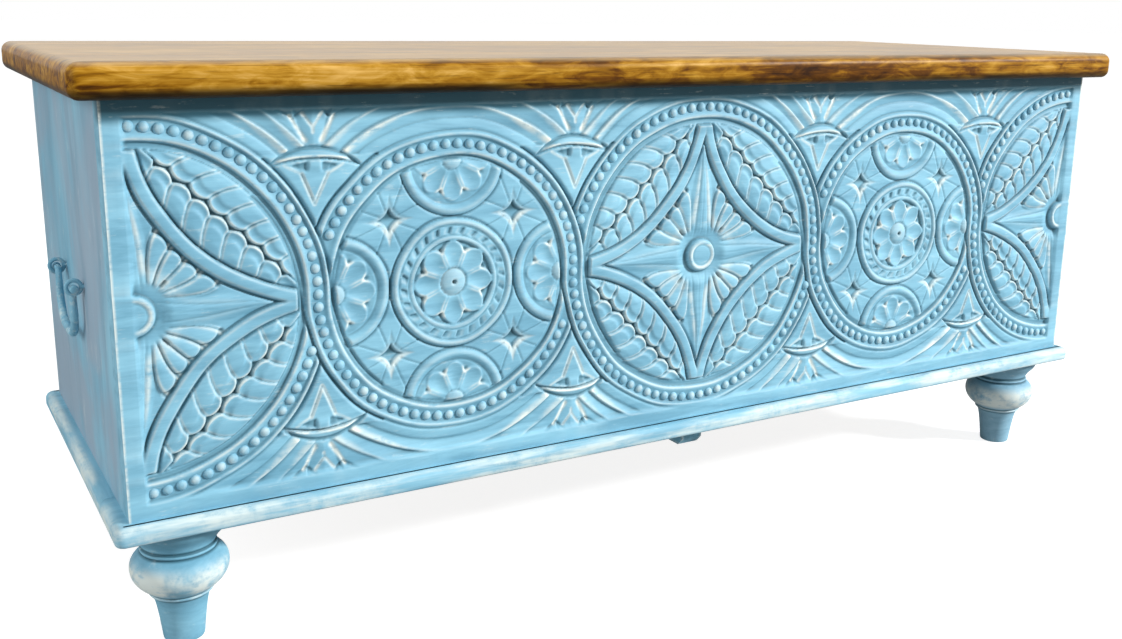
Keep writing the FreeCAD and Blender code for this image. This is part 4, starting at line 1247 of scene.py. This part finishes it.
handle_paint = chalk_paint("handle_chalk_paint", (60.0, 60.0, 60.0), iron_rub, iron_wax)
for end, side in (("left", -1), ("right", 1)):
    path, radii = bail_path(side * (SIDE_FACE + BAIL_OUT))
    bail = forged(f"{end}_bail_forged", *bar_along(path, radii, 14))
    dress(bail, handle_paint, f"{end}_handle", "handle_paint", f"{end}_bail")
    points, faces = [], []
    for y in (BAIL_MIDDLE - EYE_SPACING / 2, BAIL_MIDDLE + EYE_SPACING / 2):
        more_points, more_faces = screw_eye(side, y)
        faces += shifted(more_faces, len(points))
        points += more_points
    eyes = forged(f"{end}_handle_eyes_wire", points, faces)
    dress(eyes, handle_paint, "carcass", "handle_paint", f"{end}_handle_eyes")


# The lid: four boards of mango wood 30 mm thick, glued edge to edge, rounded over all round and
# varnished a warm brown. The top is paler than the edge, worn and with a painted sheen, and the
# lowest part of the edge carries a painted shade.

LID_LOW = Vector(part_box("lid_board_front")[0])
LID_HIGH = Vector(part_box("lid_board_back")[1])


def varnished_mango(name, shift):
    """Brown wood under satin varnish, its grain along the lid, each board with its own figure."""
    finish = Finish(name)
    inputs = {"Vector": finish.place(), "Location": (shift * 1.7, shift * 0.37, shift)}
    place = finish.add("ShaderNodeMapping", {}, inputs)
    figure = finish.cloud((1.6, 22.0, 34.0), 5.0, 0.6, 1.4, place)
    streak = finish.cloud((3.5, 120.0, 150.0), 4.0, 0.65, 0.8, place)
    pores = finish.cloud((22.0, 520.0, 520.0), 2.0, 0.5, 0.0, place)
    patches = finish.cloud((5.0, 7.0, 7.0), 3.0, 0.55, 0.5, place)
    mottle = finish.cloud((28.0, 95.0, 95.0), 4.0, 0.6, 0.9, place)
    tone = figure * 0.45 + streak * 0.4 + patches * 0.42 + mottle * 0.5 - 0.385
    colours = [(46, 22, 0), (96, 56, 2), (144, 98, 14), (176, 130, 40), (212, 168, 90)]
    colour = finish.ramp((0.30, 0.42, 0.51, 0.60, 0.74), colours, tone)
    z = finish.along("Z")
    on_top = z.step(LID_HIGH.z - 0.005, LID_HIGH.z - 0.0005)
    # The top paler: wear, and a painted sheen.
    wear_and_sheen = on_top * (streak.step(0.35, 0.7) * 0.35 + 0.35)
    colour = finish.blend(colour, paint_colour(170, 150, 112), wear_and_sheen)
    # Painted shade on the lowest part of the edge, where it turns under.
    shade_under_edge = 1 - z.step(LID_LOW.z + 0.004, LID_LOW.z + 0.012)
    shade_under_edge = shade_under_edge * (patches.step(0.3, 0.6) * 0.5 + 0.5)
    colour = finish.blend(colour, paint_colour(18, 10, 2), shade_under_edge * 0.97)
    colour = finish.blend(colour, paint_colour(58, 34, 8), pores.step(0.62, 0.72) * 0.45)
    others = {"Normal": finish.bumps(pores * 0.5 + streak * 0.5, 0.0004, 0.5)}
    others |= {"Coat Weight": on_top * 0.5 + 0.02, "Coat Roughness": 0.4, "Specular IOR Level": 0.08}
    return finish.ends_in(colour, streak * 0.2 + 0.28, others)


lid_boards = ("front", "middle_front", "middle_back", "back")
for number, board in enumerate(lid_boards):
    low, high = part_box(f"lid_board_{board}")
    square = [edge for edge in ("front", "back") if edge != board]
    planed = rounded_board(f"lid_board_{board}_planed", low, high, 0.0100, 0.0090, square, 0.0105, 8)
    varnish = varnished_mango(f"varnished_mango_{number + 1}", 0.31 * number)
    dress(planed, varnish, "lid", "lid_varnish", f"lid_board_{board}")


# Under the lid, two battens screwed across the boards hold them flat; unvarnished mango with
# chamfered ends, four countersunk screws in each.

recoat("lid_batten_left", bare_crosswise)
recoat("lid_batten_right", bare_crosswise)


def worn_iron(name, tone):
    """Blackened iron with brown rust coming through."""
    finish = Finish(name)
    rust = finish.cloud((60.0, 60.0, 60.0), 5.0, 0.7, 0.5)
    fine = finish.cloud((400.0, 400.0, 400.0), 3.0, 0.6)
    colour = finish.blend(paint_colour(*tone), paint_colour(104, 62, 34), rust.step(0.45, 0.72) * 0.8)
    colour = finish.blend(colour, paint_colour(44, 36, 30), fine.step(0.5, 0.75) * 0.5)
    normal = finish.bumps(fine * 0.6 + rust * 0.4, 0.0003, 0.6)
    others = {"Metallic": 1 - rust.step(0.45, 0.7) * 0.8, "Normal": normal}
    return finish.ends_in(colour, rust * 0.4 + 0.3, others)


hinge_iron = worn_iron("hinge_worn_iron", (92, 90, 86))
screw_iron = worn_iron("screw_worn_iron", (120, 116, 108))


def slotted_head(name):
    """A countersunk screw head lying flat, one metre across: a low dome with a slot."""
    around = 16
    points = []
    for radius, z in ((0.5, 0.0), (0.47, 0.09), (0.22, -0.3)):
        for turn in round_turn(around):
            points.append((radius * math.cos(turn), radius * math.sin(turn), z))
    faces = [tuple(range(around, 2 * around))]
    for step in range(around):
        after = (step + 1) % around
        faces.append((step, after, around + after, around + step))
        faces.append((2 * around + step, 2 * around + after, after, step))
    faces.append(tuple(reversed(range(2 * around, 3 * around))))
    head = new_piece(name, points, faces)
    slot_points = [(x, y, z) for x in (-0.6, 0.6) for y in (-0.055, 0.055) for z in (0.03, 0.3)]
    slot_faces = [(0, 1, 3, 2), (4, 6, 7, 5), (0, 4, 5, 1), (2, 3, 7, 6), (0, 2, 6, 4), (1, 5, 7, 3)]
    cutter = new_piece(name + "_slot", slot_points, slot_faces)
    cut = head.modifiers.new("slot", "BOOLEAN")
    cut.operation = "DIFFERENCE"
    cut.solver = "EXACT"
    cut.object = cutter
    mesh = settled_mesh(head)
    bpy.data.objects.remove(head)
    bpy.data.objects.remove(cutter)
    head = put_in(name, mesh)
    head.hide_render = True
    head.hide_viewport = True
    return head


head_pattern = slotted_head("screw_head_pattern")


def screws(name, points, facing, width, body):
    """Screw heads at the points, turned to face along the given direction, each slot at random."""
    driving = Growth(name + "_driving", {
        "Head width": ("NodeSocketFloat", width),
        "Seed": ("NodeSocketInt", 5),
    })
    given = driving.given
    pattern = {"Object": head_pattern}
    head = driving.add("GeometryNodeObjectInfo", {"transform_space": "ORIGINAL"}, pattern, "Geometry")
    lean = Vector((0, 0, 1)).rotation_difference(Vector(facing)).to_euler()
    chance = {2: 0.0, 3: math.pi, "Seed": given["Seed"]}
    turn = driving.add("FunctionNodeRandomValue", {"data_type": "FLOAT"}, chance, 1)
    spin = driving.add("ShaderNodeCombineXYZ", {}, {2: turn})
    size = driving.add("ShaderNodeCombineXYZ", {}, {axis: given["Head width"] for axis in range(3)})
    seated = {"Points": given["Geometry"], "Instance": head, "Rotation": lean, "Scale": size}
    seated = driving.add("GeometryNodeInstanceOnPoints", {}, seated)
    turned = {"Instances": seated, "Rotation": spin, "Local Space": True}
    turned = driving.add("GeometryNodeRotateInstances", {}, turned)
    piece = driving.grow(new_piece(name, points), turned, screw_iron)
    dress(piece, screw_iron, body, "hinge_iron")


batten_screws = []
for end in ("left", "right"):
    low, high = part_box(f"lid_batten_{end}")
    middle_x = (low.x + high.x) / 2
    for number, board in enumerate(lid_boards):
        board_low, board_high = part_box(f"lid_board_{board}")
        y = min(max((board_low.y + board_high.y) / 2, low.y + 0.03), high.y - 0.03)
        batten_screws.append((middle_x + (0.011 if number % 2 else -0.011), y, low.z + 0.0001))
screws("lid_batten_screws", batten_screws, (0, 0, -1), 0.0085, "lid")


# The hinges: a pair of iron butts behind the back, one leaf screwed down the back panel and one
# under the lid, three countersunk screws in each leaf.

wall_screws = []
lid_screws = []
for end in ("left", "right"):
    recoat(f"{end}_hinge_wall_leaf", hinge_iron)
    recoat(f"{end}_hinge_lid_leaf", hinge_iron)
    wall_low, wall_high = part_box(f"{end}_hinge_wall_leaf")
    lid_low, lid_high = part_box(f"{end}_hinge_lid_leaf")
    for share in (0.14, 0.5, 0.86):
        x = wall_low.x + share * (wall_high.x - wall_low.x)
        wall_screws.append((x, wall_low.y + 0.0021, wall_low.z + 0.0075))
        lid_screws.append((x, lid_high.y - 0.0075, lid_high.z - 0.0021))
screws("hinge_wall_screws", wall_screws, (0, 1, 0), 0.0062, "carcass")
screws("hinge_lid_screws", lid_screws, (0, 0, -1), 0.0062, "lid")
bpy.data.objects.remove(head_pattern)


# The studio: a pale floor that keeps the soft shadow under the feet, even light from a white
# room, one broad lamp from the front and above, and the camera low at the left front corner.

def pale_floor():
    finish = Finish("pale_floor")
    wash = finish.cloud((0.8, 0.8, 0.8), 2.0)
    colour = finish.blend(paint_colour(178, 178, 178), paint_colour(172, 173, 173), wash)
    ray = finish.add("ShaderNodeLightPath", {}, {}, "Is Camera Ray")
    glow = finish.blend((0.0, 0.0, 0.0, 1.0), (0.85, 0.85, 0.85, 1.0), ray)
    others = {"Emission Color": glow, "Emission Strength": 1.0, "Specular IOR Level": 0.1}
    return finish.ends_in(colour, wash * 0.1 + 0.85, others)


reach = 30.0
floor_corners = [(-reach, -reach, 0), (reach, -reach, 0), (reach, reach, 0), (-reach, reach, 0)]
floor = new_piece("floor", floor_corners, [(0, 1, 2, 3)])
floor.data.materials.append(pale_floor())

room = bpy.data.worlds.new("white_room")
room.use_nodes = True
bpy.context.scene.world = room
sky = Nodes(room.node_tree)
# White to the camera and in what shines, dimmer as the light of the room.
to_camera = sky.add("ShaderNodeLightPath", {}, {}, "Is Camera Ray")
in_shine = sky.add("ShaderNodeLightPath", {}, {}, "Is Glossy Ray")
seen = to_camera.most(in_shine)
level = sky.add("ShaderNodeMapRange", {}, {"Value": seen, "To Min": 0.30, "To Max": 1.0})
sky.feed(sky.tree.nodes["Background"], {"Color": (1.0, 1.0, 1.0, 1.0), "Strength": level})


def soft_lamp(name, spot, aim, width, power):
    lamp = bpy.data.lights.new(name, "AREA")
    lamp.shape = "SQUARE"
    lamp.size = width
    lamp.energy = power
    holder = put_in(name, lamp)
    holder.location = spot
    holder.rotation_mode = "QUATERNION"
    holder.rotation_quaternion = (Vector(aim) - Vector(spot)).to_track_quat("-Z", "Y")


soft_lamp("window_light", (5.4, -4.8, 3.5), (0.0, -0.1, 0.3), 0.8, 860.0)
soft_lamp("ceiling_light", (-0.6, 0.3, 3.2), (0.0, 0.0, 0.3), 2.2, 26.0)
soft_lamp("side_light", (-3.2, -0.6, 1.5), (-0.6, 0.0, 0.3), 2.0, 46.0)

# The camera, as solved from the outlines in the photograph.
camera_data = bpy.data.cameras.new("camera")
camera_data.sensor_width = 36.0
camera_data.lens = 38.689
camera_data.shift_x = -0.0326
camera_data.shift_y = -0.0281
camera = put_in("camera", camera_data)
camera.location = (-0.75384, -1.23556, 0.57749)
camera.rotation_euler = (math.radians(76.767), math.radians(-1.0139), math.radians(-31.1296))
bpy.context.scene.camera = camera
bpy.context.scene.view_settings.view_transform = "Standard"
